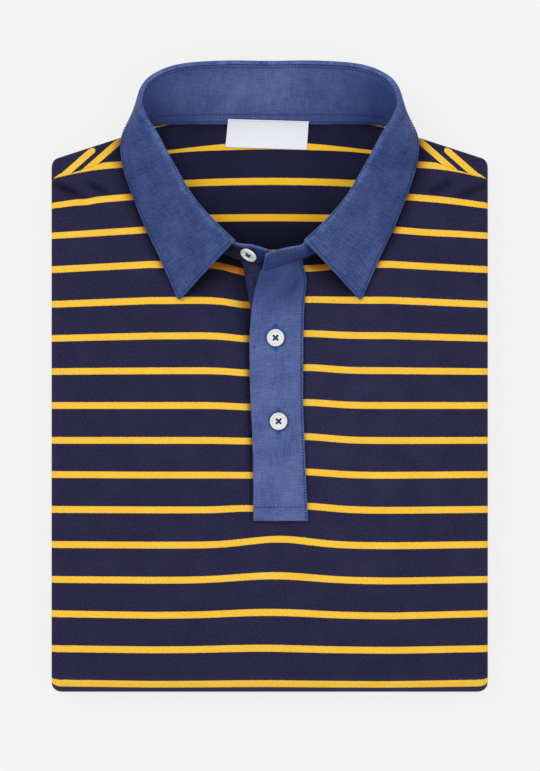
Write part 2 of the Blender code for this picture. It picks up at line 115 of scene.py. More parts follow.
# Creases pressed into the jersey: soft troughs, each with the direction it runs in and how deep
# the painted shade in its trough is.
CREASES = table(
    "x y long wide heading depth tone",
    (-134.6, 124.3, 11, 2.4, -25, 1.8, 0.72),
    (-114.2, 125.2, 9, 2.5, -27, 1.7, 0.7),
    (136.2, 124.4, 11, 2.5, 206, 1.6, 0.64),
    (113.6, 126, 9, 2.5, 209, 1.6, 0.68),
    (-96, 60, 26, 6, 8, 0.45, 0.1),
    (100, 38, 30, 7, -6, 0.45, 0.1),
    (-40, -60, 24, 8, 84, 0.4, 0.08),
    (60, -52, 30, 7, 93, 0.4, 0.08),
    (-14, -104, 12, 4, 58, 0.5, 0.12),
    (29, -105, 12, 4, 122, 0.5, 0.12),
    (-92, -130, 30, 7, 75, 0.4, 0.08),
    (104, -100, 26, 7, 100, 0.4, 0.08),
)
CREASE_RIDGE = {"off": 1.9, "share": 0.5}
# Where the jersey runs in under the collar's front: painted shade there, and how deep it is.
RECESSES = table(
    "x y wide long tone",
    (-26, 81, 10, 9, 0.9),
    (-17, 71, 4, 7, 0.4),
    (31, 81, 10, 9.5, 0.88),
)
# The soft painted shade beside what stands on the jersey: places along its edge, how far the
# shade reaches there and how deep it is. The first is mirrored.
SHADES = (
    {"x": (98.4, 99.2, 95.6, 84.2, 73.2, 60.8), "y": (159.6, 149, 132, 102, 78.5, 50),
     "reach": (8, 7.5, 6.6, 4.6, 3.7, 2), "depth": (0.74, 0.75, 0.77, 0.8, 0.78, 0.1)},
    {"x": (-60.8, -52, -42, -30), "y": (50, 59.5, 70, 82),
     "reach": (2, 8, 12, 12), "depth": (0.1, 0.76, 0.75, 0.7)},
    {"x": (60.8, 52, 42, 30), "y": (50, 59.5, 70, 82),
     "reach": (2, 9, 14, 14), "depth": (0.1, 0.74, 0.74, 0.7)},
    {"x": (-18.8, -15.5, -13.7, -13.4, -13.4, -12.8, -11.5, -11.1, -10.9),
     "y": (79, 62, 45, 34, 12, -17, -43, -68, -96.4),
     "reach": (13, 12.5, 9.5, 5.6, 4, 3.6, 3.2, 2.4, 1.8),
     "depth": (0.72, 0.74, 0.76, 0.78, 0.78, 0.76, 0.74, 0.6, 0.35)},
)
SHADE_POWER = 1.6
# Painted light over the body: brightest beside the placket on the right, dimmer at the lower fold.
LIGHT_PATCH = {"x": 52, "wide": 58, "most": 0.12, "top": 75, "above": 30, "bottom": -165,
               "below": 90}
FOLD_DIM = {"y": -130, "over": 60, "by": 0.06}

# The stripes on the front: the height of each across the chest, how far it has sunk at the sides
# and along what curve, how far it is pulled at the placket's two edges, and its hump below the
# placket.
STRIPES = {
    "number": tuple(range(18)),
    "y": (141.4, 119.9, 97.9, 74.6, 50.6, 27, 3.7, -19.5, -42.8, -65.9, -89.1, -112.6, -136,
          -159.4, -182.4, -206.1, -228.6, -251.9),
    "side": (-8.6, -6.5, -4.2, -3.6, -2.8, -1.9, -0.6, 0, 0, 0.4, 0.3, 0.4, 0.5, 1.1, 0.8, 1.1,
             1, 1),
    "bend": (2.6, 1.6, 0.9) + 15 * (1,),
    "left": (0, -2, -4, -5.6, -3.1, -2.1, -1.5, -1, -0.5, -0.2, 0.8) + 7 * (0,),
    "right": (0, -2, -3, -2.9, 0.6, 1.4, 2.1, 2, 2.7, 2.3, 2.7, 0.5, 0.3, 0.2) + 4 * (0,),
    "hump": 11 * (0,) + (3.9, 2.9, 1.9, 1.1, 0.5, 0, 0),
    "hump_x": 12 * (4,) + (0.5, -3) + 4 * (-6,),
    "hump_reach": 12 * (27,) + (33,) + 5 * (36,),
}
# Small places where the stripes lie a little off their run.
STRIPE_SHIFTS = table(
    "x y wide long by",
    (-122, 118, 5, 12, -0.6),
    (105, 98, 14, 14, -0.35),
    (87, -140, 36, 70, -0.45),
    (-82, 40, 30, 40, -0.25),
    (-22, -88, 12, 16, 0.3),
    (32, -66, 12, 40, -0.35),
)
STRIPE_PITCH = 23.3
STRIPE_WIDTH = 4.5
# Over the lower fold the cloth is stretched, and its stripe is wider.
WIDE_STRIPE = {"top": -198, "bottom": -222, "over": 6, "by": 0.22}
SINK_START = 80.0
PULLS = {"left": {"x": -13.4, "reach": 16}, "right": {"x": 24.5, "reach": 21}}
# The stripes on the back panel's inside, seen in the neck: height at the middle, and the drop at
# 70 mm from it.
BACK_STRIPES = {
    "number": (-1, 0, 1, 2, 3, 18),
    "y": (176, 153.8, 130.1, 105.8, 82, -264.5),
    "drop": (7.6, 4.3, 2, 1.2, 0.5, 0),
}
BACK_STRIPE_PITCH = 23.9
BACK_STRIPE_WIDTH = 4.7
# The stripe nearest the collar narrows to the sides.
BACK_STRIPE_TAPER = {"x": 20, "over": 42, "y": 138, "above": 12, "by": 0.4}
# Painted shade inside the neck, by height: deepest by the collar's front.
NECK_SHADE = {"y": (82, 92, 108, 150, 164, 171), "tone": (0.3, 0.36, 0.62, 0.72, 0.66, 0.5)}
# Where the back wraps over the shoulder its stripes run aslant, and one stops short of the fold.
STRAP_STRIPE = {"x": -136.8, "y": 134.3, "heading": 41.2, "pitch": 7.2, "width": 4.2, "end": 24.6}

# The collar, as its solids have it.
COLLAR = table(
    "foot seam edge",
    ((0, 168, 21.2), (0, 206.2, 38), (0, 187, 3.5)),
    ((30, 168, 21.2), (30, 206.4, 38.4), (33, 187.5, 3.5)),
    ((58, 168, 21.3), (58, 204.2, 40), (66, 187.5, 5)),
    ((73.5, 167.3, 22.6), (74.2, 198.4, 42.5), (85.4, 186, 9)),
    ((81, 163.8, 25.2), (82.2, 190.6, 44.5), (89, 178.2, 16)),
    ((84, 155, 25.2), (84.9, 180, 45.5), (94.5, 168, 22.4)),
    ((85.5, 147, 25.2), (81.2, 169.6, 46.3), (98.4, 159.6, 25.6)),
    ((84.5, 138, None), (74.8, 159, 46.5), (99.2, 149, None)),
    ((79, 126, None), (65.2, 141, 46.5), (95.6, 132, None)),
    ((65, 107, None), (51.4, 118, 46), (84.2, 102, None)),
    ((46, 90, None), (36.8, 101.4, 45), (73.2, 78.5, None)),
    ((26, 80, None), (23.4, 89.2, 44), (60.8, 49.7, None)),
)
BUTTON_END = table(
    "foot seam",
    ((-13, 76.4, None), (-11.6, 87.1, 43.2)),
    ((-5, 76.2, None), (-4, 84.9, 40.8)),
    ((5, 77.6, None), (5, 81.8, 36.7)),
)
BUTTONHOLE_END = table(
    "foot seam",
    ((22, 78.6, None), (21, 87, 43.8)),
    ((10.6, 75.2, None), (9, 84.6, 43.6)),
    ((-5.5, 69.6, None), (-3, 81.2, 43)),
)
STAND_WALL = 1.6
STAND_HIGH = 26.0
LEAF_FALL = 52.0
STAND_BOW = 1.0
TURN_IN = {"row": 2.2, "reach": 0.9, "up": 0.72, "out": 3.0}
# Painted light and shade on the stand at some of its cuts, from its foot up to its top edge.
STAND_SHADE = {
    "row": (0, 1, 2, 2.7, 3.4, 5, 8, 10.5, 14, 16.5, 19, 21, 24, 26.3, 26.9, 28),
    "foot": (0.3, 0.2, 0.1, 0, 0, 0.2, 0.26, 0.3, 0.8, 0.3, 0.26, 0.25, 0.2, 0.1, 0.4, 0.5),
    "face": (0.3, 0.2, 0.08, 0, 0, 0.26, 0.26, 0.34, 1, 0.34, 0.28, 0.26, 0.26, 0.2, 0.34, 0.5),
    "edge": (1, 1, 1, 1, 0.8, 0.6, 0.5, 0.5, 0.85, 0.5, 0.5, 0.6, 0.8, 1, 1, 1),
}
LEAF_WALL = 1.5
LEAF_BOW = 1.6
TIP_RADIUS = 3.0
CREST_RADIUS = 1.1
CREST_RISE = 0.9
# Painted light and shade on the leaf round the neck, from the wearer's right; a painted highlight
# makes its crest lightest.
LEAF_SHADE = {
    "row": (0, 3, 7, 11, 15, 19, 22),
    "tone": (0.52, 0.43, 0.47, 0.57, 0.69, 0.45, 0.62),
}
# The painted highlight over the crest: how far it reaches from the seam, and how light it is.
CREST_LIGHT = 5.5
CREST_HIGHLIGHT = 0.88
CUTS_PER_ROW = 12
FOOT_LIFT = SEAM_GAP + 0.9
FOOT_OVER_PLACKET = 30.0
FOOT_CLIMB = 12.0
STAND_FRONT_Y = 100.0
EDGE_LIFT = SEAM_GAP + 0.85
LIFTS = {"foot": FOOT_LIFT, "seam": 0, "edge": EDGE_LIFT}

# The placket and the underlap beside its upper end.
PLACKET = {
    "y": (79, 72, 66, 59, 51, 26, 8, -17, -43, -68, -96.4),
    "left": (-4, -5.9, -7.6, -9.6, -11.2, -13.4, -13.4, -12.8, -11.5, -11.1, -10.9),
    "right": (21.6, 22.8, 24.6, 24.3, 23.5, 22.5, 22.4, 22.3, 23.2, 24.2, 25.5),
}
UNDERLAP = {
    "y": (79, 51, 26, -92),
    "left": (-18.8, -13.7, -9.5, -8),
    "right": (17.5, 19.5, 18.5, 20),
}
# The heights of the placket's upper corners, how it climbs towards the stand, and the painted
# shade that dims it there.
PLACKET_TOP = {"left": 70.6, "right": 79.8}
PLACKET_CLIMB = {"y": 62, "over": 16, "by": 1.2}
PLACKET_DIM = {"y": 24, "over": 40, "by": 0.5}
# Soft folds at the placket's upper end, with painted shade in their hollows.
PUCKERS = table(
    "x y wide long heading depth tone",
    (0, 65, 2.6, 9, 14, 0.5, 0.36),
    (17.5, 61.5, 2.2, 9, 62, 0.5, 0.4),
    (6, 54, 3, 8, 30, 0.4, 0.24),
    (20, 74, 3, 6, 20, 0.2, 0.3),
    (13, 46, 2.4, 8, 78, 0.3, 0.18),
)
UNDERLAP_TOP = {"left": 78, "right": 77}
# Painted shade on the underlap, under the stand's end.
UNDERLAP_PAINTED_SHADE = 0.9
STRIP_WIDE = 36.0
STRIP_LONG = 170.0
UNDERLAP_WALL = 1.2
PLACKET_WALL = 1.6

# Buttons, thread and label.
HOLE_OFFSET = 1.35
FRONT_BUTTONS = {"button_upper": (3.9, 25.6), "button_lower": (5.9, -30.0)}
BUTTON_RADIUS = 5.8
# Painted shadow round each button on the placket: how far it reaches and how deep it is.
BUTTON_SHADE = {"reach": 0.9, "depth": 0.7}
# The neck button's place on the stand: half rows from its end, and fifths of its height.
NECK_BUTTON_CUT = 4
NECK_BUTTON_FIFTH = 3
NECK_BUTTON_STANDOFF = 2.1
NECK_BUTTON_LEAN = (-0.4, 0.1, -0.05)
LABEL_CORNERS = {"left": (-27.7, 171.4, -29.7, 152.8), "right": (26, 169.9, 24.9, 151)}
LABEL_WALL = 1.0
LABEL_TAPE = 0.7
LABEL_WIDE = 54.0
LABEL_LONG = 19.0
LABEL_PROFILE = {"y": (150, 159, 164, 168, 173), "z": (20.4, 20.5, 21.4, 22.9, 25.2)}
CROSSING = {"lane": 0.3, "radius": 0.34, "height": 1.78, "over": 0.1, "rings": 15, "sides": 8,
            "past_hole": 1.02, "bend": 0.82, "dip": 6}
# Stitches: their pitch, length and radius, and how far the rows lie from the edges.
STITCH_PITCH = 1.95
STITCH_LONG = 1.25
STITCH_RADIUS = 0.4
STITCH_RINGS = 6
LEAF_ROW = 2.8
CREST_ROW = 4.4
CREST_ROW_LONG = 70
STAND_ROWS = ((2.6, 1, False), (8.0, 1, False), (1.6, 1, True), (1.8, 0, False), (1.8, 0, True))
PLACKET_ROW = 1.7
PLACKET_STITCH = (1.9, 1.3, 0.5)
PLACKET_FOOT_ROW = 9.6
UNDERLAP_ROW = 1.2
LABEL_ROW = 1.0
HOLE = {"half": 9.0, "threads": 44, "off": 0.72, "reach": 0.62}
HOLE_STITCH = (9.0, 1.6, 0.26)

# The camera looks straight down. The photograph is 540 by 771 pixels at 1.5 pixels a millimetre.
PHOTO_LONG_SIDE = 771 / 1.5
PHOTO_MIDDLE = (0.2, -6.2)
CAMERA_HEIGHT = 3000.0
SENSOR = 36.0
FLOOR_GLOW = 0.8
FLOOR_REACH = 4.0
SKY = 0.62
LAMPS = table(
    "name place size power",
    ("key", (-0.9, 0.9, 1.9), 1.3, 16.0),
    ("fill", (1.2, -0.4, 2.0), 1.8, 9.0),
)


# Arithmetic on grids


def smooth(at, places, values):
    """Read a table between its rows, along cubic arcs that pass through every row."""
    places = np.asarray(places, float)
    values = np.asarray(values, float)
    at = np.clip(at, places[0], places[-1])
    slopes = np.gradient(values, places, axis=0)
    row = np.clip(np.searchsorted(places, at, side="right") - 1, 0, len(places) - 2)
    width = places[row + 1] - places[row]
    t = (at - places[row]) / width
    if values.ndim > 1:
        t = t[..., None]
        width = width[..., None]
    start = (2 * t**3 - 3 * t**2 + 1) * values[row] + (t**3 - 2 * t**2 + t) * width * slopes[row]
    end = (3 * t**2 - 2 * t**3) * values[row + 1] + (t**3 - t**2) * width * slopes[row + 1]
    return start + end


def read(columns, places, values, at):
    """Read one column of a table at places that another column gives."""
    return smooth(at, columns[places], columns[values])


def unit(arrows):
    return arrows / np.linalg.norm(arrows, axis=-1, keepdims=True)


def normals(points):
    """The direction that a grid of points faces: its row direction crossed with its column's."""
    return unit(np.cross(np.gradient(points, axis=0), np.gradient(points, axis=1)))


def ease(t):
    t = np.clip(t, 0, 1)
    return t * t * (3 - 2 * t)


def lengths(grid, axis):
    """The distance run along a grid's lines, from its first line, along one axis."""
    step = np.linalg.norm(np.diff(grid, axis=axis), axis=-1)
    start = np.zeros_like(np.take(step, [0], axis=axis))
    return np.concatenate([start, np.cumsum(step, axis=axis)], axis=axis)


def vectors(*parts):
    """Three measures of each point, as one vector."""
    return np.stack(np.broadcast_arrays(*parts), axis=-1)


def bell(x, y, spot):
    """A round hill over a spot, 1 at its middle."""
    u, v = (x - spot["x"]) / spot["wide"], (y - spot["y"]) / spot["long"]
    return np.exp(-(u**2) - v**2)


def on_fold(x, y, fold):
    """Where a point lies on a fold: along it in its lengths, and off it in its widths."""
    turn = math.radians(fold["heading"])
    dx, dy = x - fold["x"], y - fold["y"]
    along = (dx * math.cos(turn) + dy * math.sin(turn)) / fold["long"]
    return along, (dy * math.cos(turn) - dx * math.sin(turn)) / fold["wide"]


def edge_distance(grid):
    """How far each point of a grid is from the grid's nearest border, over the cloth."""
    near = np.full(grid.shape[:2], np.inf)
    for axis in (0, 1):
        run = lengths(grid, axis)
        whole = np.take(run, [-1], axis=axis)
        near = np.minimum(near, np.minimum(run, whole - run))
    return near


def stations(length, step):
    """Places from 0 to 1 along a length, close together at its two ends where the edge rounds."""
    inner = np.linspace(1.0, length - 1.0, max(2, round((length - 2) / step) + 1))
    return np.concatenate([BORDER, inner, length - BORDER[::-1]]) / length


def rounding(distance, thick):
    """The share of its thickness that a sheet has near its edge: a half circle's section."""
    inward = np.clip(distance / (thick / 2), 0.01, 1)
    return np.sqrt(1 - (1 - inward) ** 2)[..., None]


def plump(middle, thick, facing=None):
    """The two faces of a sheet with rounded edges, from the grid of its middle."""
    facing = normals(middle) if facing is None else facing
    half = thick / 2 * rounding(edge_distance(middle), thick) * facing
    return middle + half, middle - half


def rounded(skins, from_edge):
    """The jersey's two faces, drawn together where they near its edge."""
    middle = (skins[0] + skins[1]) / 2
    share = rounding(from_edge, JERSEY)
    return middle + (skins[0] - middle) * share, middle + (skins[1] - middle) * share


def at_grid(grid, rows, columns):
    """Points of a grid at rows and columns that needn't be whole numbers."""
    r = np.clip(np.floor(rows).astype(int), 0, grid.shape[0] - 2)
    c = np.clip(np.floor(columns).astype(int), 0, grid.shape[1] - 2)
    a, b = (rows - r)[..., None], (columns - c)[..., None]
    near = grid[r, c] * (1 - b) + grid[r, c + 1] * b
    far = grid[r + 1, c] * (1 - b) + grid[r + 1, c + 1] * b
    return near * (1 - a) + far * a


# Meshes


def placed(name, data):
    """A new object in the scene."""
    made = bpy.data.objects.new(name, data)
    bpy.context.collection.objects.link(made)
    return made


def piece(name, points, faces, material, layers=None):
    """A piece of the shirt, in its place, with what its finish reads at each point."""
    mesh = bpy.data.meshes.new(name)
    mesh.from_pydata(((points - (0, MIDDLE_Y, 0)) * MM).tolist(), [], faces)
    for layer, values in (layers or {}).items():
        attribute = mesh.attributes.new(layer, "FLOAT_VECTOR", "POINT")
        attribute.data.foreach_set("vector", np.ascontiguousarray(values, np.float32).ravel())
    mesh.materials.append(material)
    mesh.shade_smooth()
    made = placed(name, mesh)
    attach(made, "root")
    return made


def wall(name, outside, inside, material, slot, layers, kept=None):
    """A closed sheet: the outside grid, the inside grid turned over, and a rim round both.

    kept says which cells of the grid are cloth; the rim follows the kept cells' border.
    """
    rows, columns = outside.shape[:2]
    if kept is None:
        kept = np.ones((rows - 1, columns - 1), bool)
    index = np.arange(rows * columns).reshape(rows, columns)
    over = index.size
    cell = [index[:-1, :-1], index[1:, :-1], index[1:, 1:], index[:-1, 1:]]
    front = np.stack([corner[kept] for corner in cell], axis=-1)
    quads = [front, front[:, ::-1] + over]
    framed = np.pad(kept, 1)
    for step, a, b in (((-1, 0), 3, 0), ((1, 0), 1, 2), ((0, -1), 0, 1), ((0, 1), 2, 3)):
        beside = np.roll(framed, (-step[0], -step[1]), (0, 1))[1:-1, 1:-1]
        border = kept & ~beside
        first, last = cell[a][border], cell[b][border]
        quads.append(np.stack([last, first, first + over, last + over], axis=-1))
    faces = np.concatenate(quads)
    mid = (rows // 2, columns // 2)
    facing = np.sum(normals(outside)[mid] * (outside - inside)[mid])
    if facing < 0:
        faces = faces[:, ::-1]
    points = np.concatenate([outside.reshape(-1, 3), inside.reshape(-1, 3)])
    used, faces = np.unique(faces, return_inverse=True)
    faces = faces.reshape(-1, 4)
    both = {key: np.tile(value.reshape(-1, 3), (2, 1))[used] for key, value in layers.items()}
    return piece(name, points[used], faces.tolist(), material, both)


def rings_to_faces(rings, sides, start=0):
    """The faces of a tube whose rings of points follow each other: quads, and two end caps."""
    index = start + np.arange(rings * sides).reshape(rings, sides)
    beside = np.roll(index, -1, axis=1)
    band = np.stack([index[:-1], beside[:-1], beside[1:], index[1:]], axis=-1).reshape(-1, 4)
    return band.tolist() + [index[0, ::-1].tolist(), index[-1].tolist()]


# Finishes


class Value:
    """A shader socket that takes part in arithmetic; each operator adds its Math node."""

    def __init__(self, finish, socket):
        self.finish = finish
        self.socket = socket

    def math(self, operation, *others):
        return self.finish.node("ShaderNodeMath", {"operation": operation}, dict(enumerate(others)))

    def __add__(self, other):
        return self.math("ADD", self, other)

    __radd__ = __add__

    def __mul__(self, other):
        return self.math("MULTIPLY", self, other)

    __rmul__ = __mul__

    def __sub__(self, other):
        return self.math("SUBTRACT", self, other)

    def __rsub__(self, other):
        return self.math("SUBTRACT", other, self)

    def __truediv__(self, other):
        return self.math("DIVIDE", self, other)


class Finish:
    """A material under construction."""

    def __init__(self, name, roughness, **constants):
        self.material = bpy.data.materials.new(name)
        self.material.use_nodes = True
        self.tree = self.material.node_tree
        self.shader = self.tree.nodes["Principled BSDF"]
        self.shader.inputs["Roughness"].default_value = roughness
        for socket, value in constants.items():
            self.shader.inputs[socket.replace("_", " ")].default_value = value

    def node(self, kind, settings=None, inputs=None, output=0):
        """Add a node: its settings first, then the values or links of its sockets."""
        made = self.tree.nodes.new(kind)
        for key, value in (settings or {}).items():
            setattr(made, key, value)
        for key, value in (inputs or {}).items():
            self.feed(made.inputs[key], value)
        return Value(self, made.outputs[output])

    def feed(self, socket, value):
        if isinstance(value, Value):
            self.tree.links.new(value.socket, socket)
        else:
            socket.default_value = value

    def layer(self, name):
        """What the mesh holds under this name, as a vector and as its three parts."""
        vector = self.node("ShaderNodeAttribute", {"attribute_name": name}, output=1)
        parts = self.tree.nodes.new("ShaderNodeSeparateXYZ")
        self.tree.links.new(vector.socket, parts.inputs[0])
        return vector, *(Value(self, part) for part in parts.outputs)

    def wave(self, value, length):
        """A sine wave of this length, from -1 to 1."""
        return value.math("SINE", value * (2 * math.pi / length))

    def place(self):
        """Object coordinates, in metres."""
        return self.node("ShaderNodeTexCoord", output=3)

    def noise(self, place, stretch, scale=1.0, detail=2.0, roughness=0.5):
        """Noise over a place that is stretched first, along each of its axes."""
        spread = {0: place, 1: stretch}
        vector = self.node("ShaderNodeVectorMath", {"operation": "MULTIPLY"}, spread)
        inputs = {"Vector": vector, "Scale": scale, "Detail": detail, "Roughness": roughness}
        return self.node("ShaderNodeTexNoise", None, inputs)

    def blend(self, share, first, second):
        """A colour between two, by a share from 0 to 1."""
        inputs = {0: share, 6: first, 7: second}
        return self.node("ShaderNodeMix", {"data_type": "RGBA"}, inputs, output=2)

    def ramp(self, value, low, high, to_low=0.0, to_high=1.0):
        inputs = {0: value, 1: low, 2: high, 3: to_low, 4: to_high}
        return self.node("ShaderNodeMapRange", {"interpolation_type": "SMOOTHSTEP"}, inputs)

    def colour(self, value):
        self.feed(self.shader.inputs["Base Color"], value)

    def bump(self, height, strength, distance):
        inputs = {"Height": height, "Strength": strength, "Distance": distance}
        bump = self.node("ShaderNodeBump", None, inputs)
        self.feed(self.shader.inputs["Normal"], bump)
        return self.material


def rgb(red, green, blue):
    """A colour as it shows on screen, from 0 to 255, made linear."""
    shown = np.array([red, green, blue]) / 255
    linear = np.where(shown <= 0.04045, shown / 12.92, ((shown + 0.055) / 1.055) ** 2.4)
    return (*linear.tolist(), 1.0)


def jersey_material():
    """Fine cotton jersey, navy with narrow yellow stripes knitted in.

    The mesh gives the stripe's number at each point, and half a stripe's width in the same
    measure. A point is yellow where its number is nearer to a whole one than that.
    """
    finish = Finish("striped jersey", 0.95, Sheen_Weight=0.04, Sheen_Roughness=0.5,
                    Specular_IOR_Level=0.12)
    _, number, half, reverse = finish.layer("stripe")
    cloth, across, down, tone = finish.layer("cloth")
    away = number.math("ABSOLUTE", number - number.math("ROUND", number))
    loops = finish.noise(cloth, (1.3, 0.6, 0), 1.0, 1.0)
    yellow = finish.ramp(away / half + (loops - 0.5) * 0.2, 0.92, 1.08, 1.0, 0.0)
    wales = finish.wave(across, 0.95)
    courses = finish.wave(down, 0.8)
    fuzz = finish.noise(cloth, (1, 1, 0), 0.9, 3.0, 0.7)
    patches = finish.noise(cloth, (1, 1, 0), 0.05)
    grain = finish.ramp(fuzz * 0.8 + patches * 0.2, 0.34, 0.66)
    navy = finish.blend(grain, rgb(34, 32, 62), rgb(53, 50, 83))
    navy = finish.blend(reverse, navy, finish.blend(grain, rgb(30, 29, 58), rgb(46, 44, 78)))
    # Painted shade: where it falls the navy darkens towards near black.
    navy = finish.blend(tone, rgb(3, 3, 9), navy)
    gold = finish.blend(grain, rgb(255, 190, 48), rgb(255, 214, 80))
    # Painted shade turns the yellow orange-brown; inside the neck it turns a deeper orange.
    gold = finish.blend(finish.ramp(tone, 0.0, 0.88), rgb(140, 66, 0), gold)
    inside_gold = finish.blend(finish.ramp(tone, 0.3, 0.8), rgb(255, 172, 30), rgb(255, 200, 50))
    gold = finish.blend(reverse, gold, inside_gold)
    finish.colour(finish.blend(yellow, navy, gold))
    height = wales * 0.3 + courses * 0.15 + fuzz * 1.2 + yellow * 0.25
    return finish.bump(height, 0.45, 0.0003)


def chambray_material(name, dark, light):
    """Plain-woven chambray: blue one way, white the other, both with thick and thin yarns."""
    finish = Finish(name, 0.9, Sheen_Weight=0.06, Sheen_Roughness=0.5, Specular_IOR_Level=0.2)
    cloth, across, down, tone = finish.layer("cloth")
    warp = finish.noise(cloth, (1.1, 0.1, 0), 1.0, 2.0, 0.6)
    weft = finish.noise(cloth, (0.1, 1.1, 0), 1.0, 2.0, 0.6)
    grain = finish.noise(cloth, (1, 1, 0), 1.3, 3.0, 0.7)
    patches = finish.noise(cloth, (1, 1, 0), 0.06)
    share = warp * 0.2 + weft * 0.18 + grain * 0.42 + patches * 0.2
    woven = finish.blend(finish.ramp(share, 0.38, 0.62), dark, light)
    # Painted shade turns the weave a deep blue, and near black where it is deepest.
    woven = finish.blend(tone, rgb(6, 38, 98), woven)
    finish.colour(finish.blend(finish.ramp(tone, 0.0, 0.16), rgb(3, 7, 26), woven))
    over = finish.wave(across, 0.7) * finish.wave(down, 0.7)
    height = over * 0.4 + warp * 0.6 + weft * 0.5 + grain * 0.5
    return finish.bump(height, 0.4, 0.0003)


def thread_material(name, dark, light):
    """Sewing thread: two plies twisted together, seen as slanting bands."""
    finish = Finish(name, 0.6, Specular_IOR_Level=0.35)
    twist = finish.noise(finish.place(), (2600, 2600, 2600), 1.0, 1.0)
    finish.colour(finish.blend(twist, dark, light))
    return finish.bump(twist, 0.3, 0.0001)


def button_material():
    """Cast resin with a faint cloud in it, polished."""
    finish = Finish("white resin", 0.3, Coat_Weight=0.25, Subsurface_Weight=0.0)
    cloud = finish.noise(finish.place(), (260, 260, 260), 1.0, 3.0)
    finish.colour(finish.blend(cloud, rgb(228, 229, 224), rgb(243, 244, 239)))
    finish.feed(finish.shader.inputs["Roughness"], finish.ramp(cloud, 0.3, 0.7, 0.24, 0.36))
    return finish.bump(cloud, 0.05, 0.0002)


def label_material():
    """Woven tape: a fine satin with ribs that run across it."""
    finish = Finish("white woven tape", 0.75, Sheen_Weight=0.1)
    cloth, _, down, _ = finish.layer("cloth")
    rib = finish.wave(down, 0.55)
    grain = finish.noise(cloth, (0.5, 2.4, 0))
    finish.colour(finish.blend(grain, rgb(236, 236, 248), rgb(250, 250, 255)))
    return finish.bump(rib * 0.4 + grain * 0.6, 0.35, 0.0002)


def plain_material(name, shade, roughness):
    """A studio surface with the faintest grain."""
    finish = Finish(name, roughness, Specular_IOR_Level=0.2)
    grain = finish.noise(finish.place(), (1, 1, 1), 40.0)
    finish.colour(finish.blend(grain, shade, tuple(c * 0.995 for c in shade[:3]) + (1.0,)))
    return finish.material


# The folded body


def rise(x, y):
    """How far the top face stands above its level height: a low dome and the waves."""
    flat_half = HALF_WIDTH - ROLL_WIDE
    across = np.clip(1 - (x / flat_half) ** 2, 0, 1)
    lower = np.clip((y - TURN_Y) / DOME["lower"], 0, 1)
    upper = np.clip((HALF_WIDTH - y) / DOME["upper"], 0, 1)
    along = ease(lower * upper)
    height = DOME["height"] * np.ones_like(across)
    for wave in WAVES:
        height = height + wave["height"] * bell(x, y, wave)
    return height * np.sqrt(across) * along


def creased(x, y, measure):
    """The pressed creases' depth, or the painted shade in them: each is a trough with a bell-shaped
    section, and its depth has a low ridge on the upper side."""
    total = np.zeros(np.broadcast(x, y).shape)
    for crease in CREASES:
        along, off = on_fold(x, y, crease)
        trough = np.exp(-(off**2))
        if measure == "depth":
            ridge = np.exp(-((off - CREASE_RIDGE["off"]) ** 2))
            trough = trough - CREASE_RIDGE["share"] * ridge
        total = total + crease[measure] * trough * np.exp(-(along**4))
    return total


def shade_beside(x, y, edge):
    """The shade along an edge: it dies away with a power of the distance to the edge."""
    places = [np.array(edge[key], float) for key in ("x", "y", "reach", "depth")]
    near = np.full(x.shape, np.inf)
    dark = np.zeros(x.shape)
    for k in range(len(edge["x"]) - 1):
        (ax, bx), (ay, by), (ar, br), (ad, bd) = (values[k:k + 2] for values in places)
        along = ((x - ax) * (bx - ax) + (y - ay) * (by - ay)) / ((bx - ax)**2 + (by - ay)**2)
        along = np.clip(along, 0, 1)
        away = np.hypot(x - ax - along * (bx - ax), y - ay - along * (by - ay))
        reach, depth = ar + (br - ar) * along, ad + (bd - ad) * along
        here = depth * np.exp(-((away / reach) ** SHADE_POWER))
        dark = np.where(away < near, here, dark)
        near = np.minimum(near, away)
    return 1 - dark


def front_painted_shade(x, y):
    """Painted shade on the jersey: 1 in full light, less in the creases, beside the collar and
    placket, and under the collar, with painted light beside the placket.
    """
    x = x + 0 * y
    shade = 1 - np.clip(creased(x, y, "tone"), -0.3, 0.9)
    for recess in RECESSES:
        u = (x - recess["x"]) / recess["wide"]
        v = (y - recess["y"]) / recess["long"]
        shade = shade * (1 - recess["tone"] * np.exp(-((u**2 + v**2) ** 2)))
    shade = shade * shade_beside(-np.abs(x), y, dict(SHADES[0], x=[-v for v in SHADES[0]["x"]]))
    for edge in SHADES[1:]:
        shade = shade * shade_beside(x, y, edge)
    patch = LIGHT_PATCH
    inside = ease((patch["top"] - y) / patch["above"])
    inside = inside * ease((y - patch["bottom"]) / patch["below"])
    broad = 1 - patch["most"] * (1 - inside * np.exp(-(((x - patch["x"]) / patch["wide"]) ** 2)))
    return shade * (broad - FOLD_DIM["by"] * ease((FOLD_DIM["y"] - y) / FOLD_DIM["over"]))


def top_face(x, y):
    return BODY_HEIGHT + rise(x, y)


def section(across, inset):
    """Across the folded body: x and the depth under the top face.

    across runs over the cloth, from the middle out. Past the flat part it follows the side roll,
    a part of an ellipse that the inset shrinks.
    """
    flat_half = HALF_WIDTH - ROLL_WIDE
    quarter = math.pi / 2
    turn = quarter - np.clip(np.abs(across) - flat_half, 0, None) / ROLL_WIDE * quarter
    rolled = np.abs(across) > flat_half
    x = np.where(rolled, flat_half + (ROLL_WIDE - inset) * np.cos(turn), np.abs(across))
    depth = np.where(rolled, ROLL_HIGH - (ROLL_HIGH - inset) * np.sin(turn), inset)
    return np.sign(across) * x, depth


def body_columns(step):
    """Places across the cloth of the folded body, close together on the side rolls."""
    flat_half = HALF_WIDTH - ROLL_WIDE
    most = flat_half + ROLL_WIDE * (math.pi / 2 - ROLL_END) / (math.pi / 2)
    half = np.concatenate([
        np.arange(0, flat_half, step), np.linspace(flat_half, most, 15),
    ])
    return np.concatenate([-half[:0:-1], half])


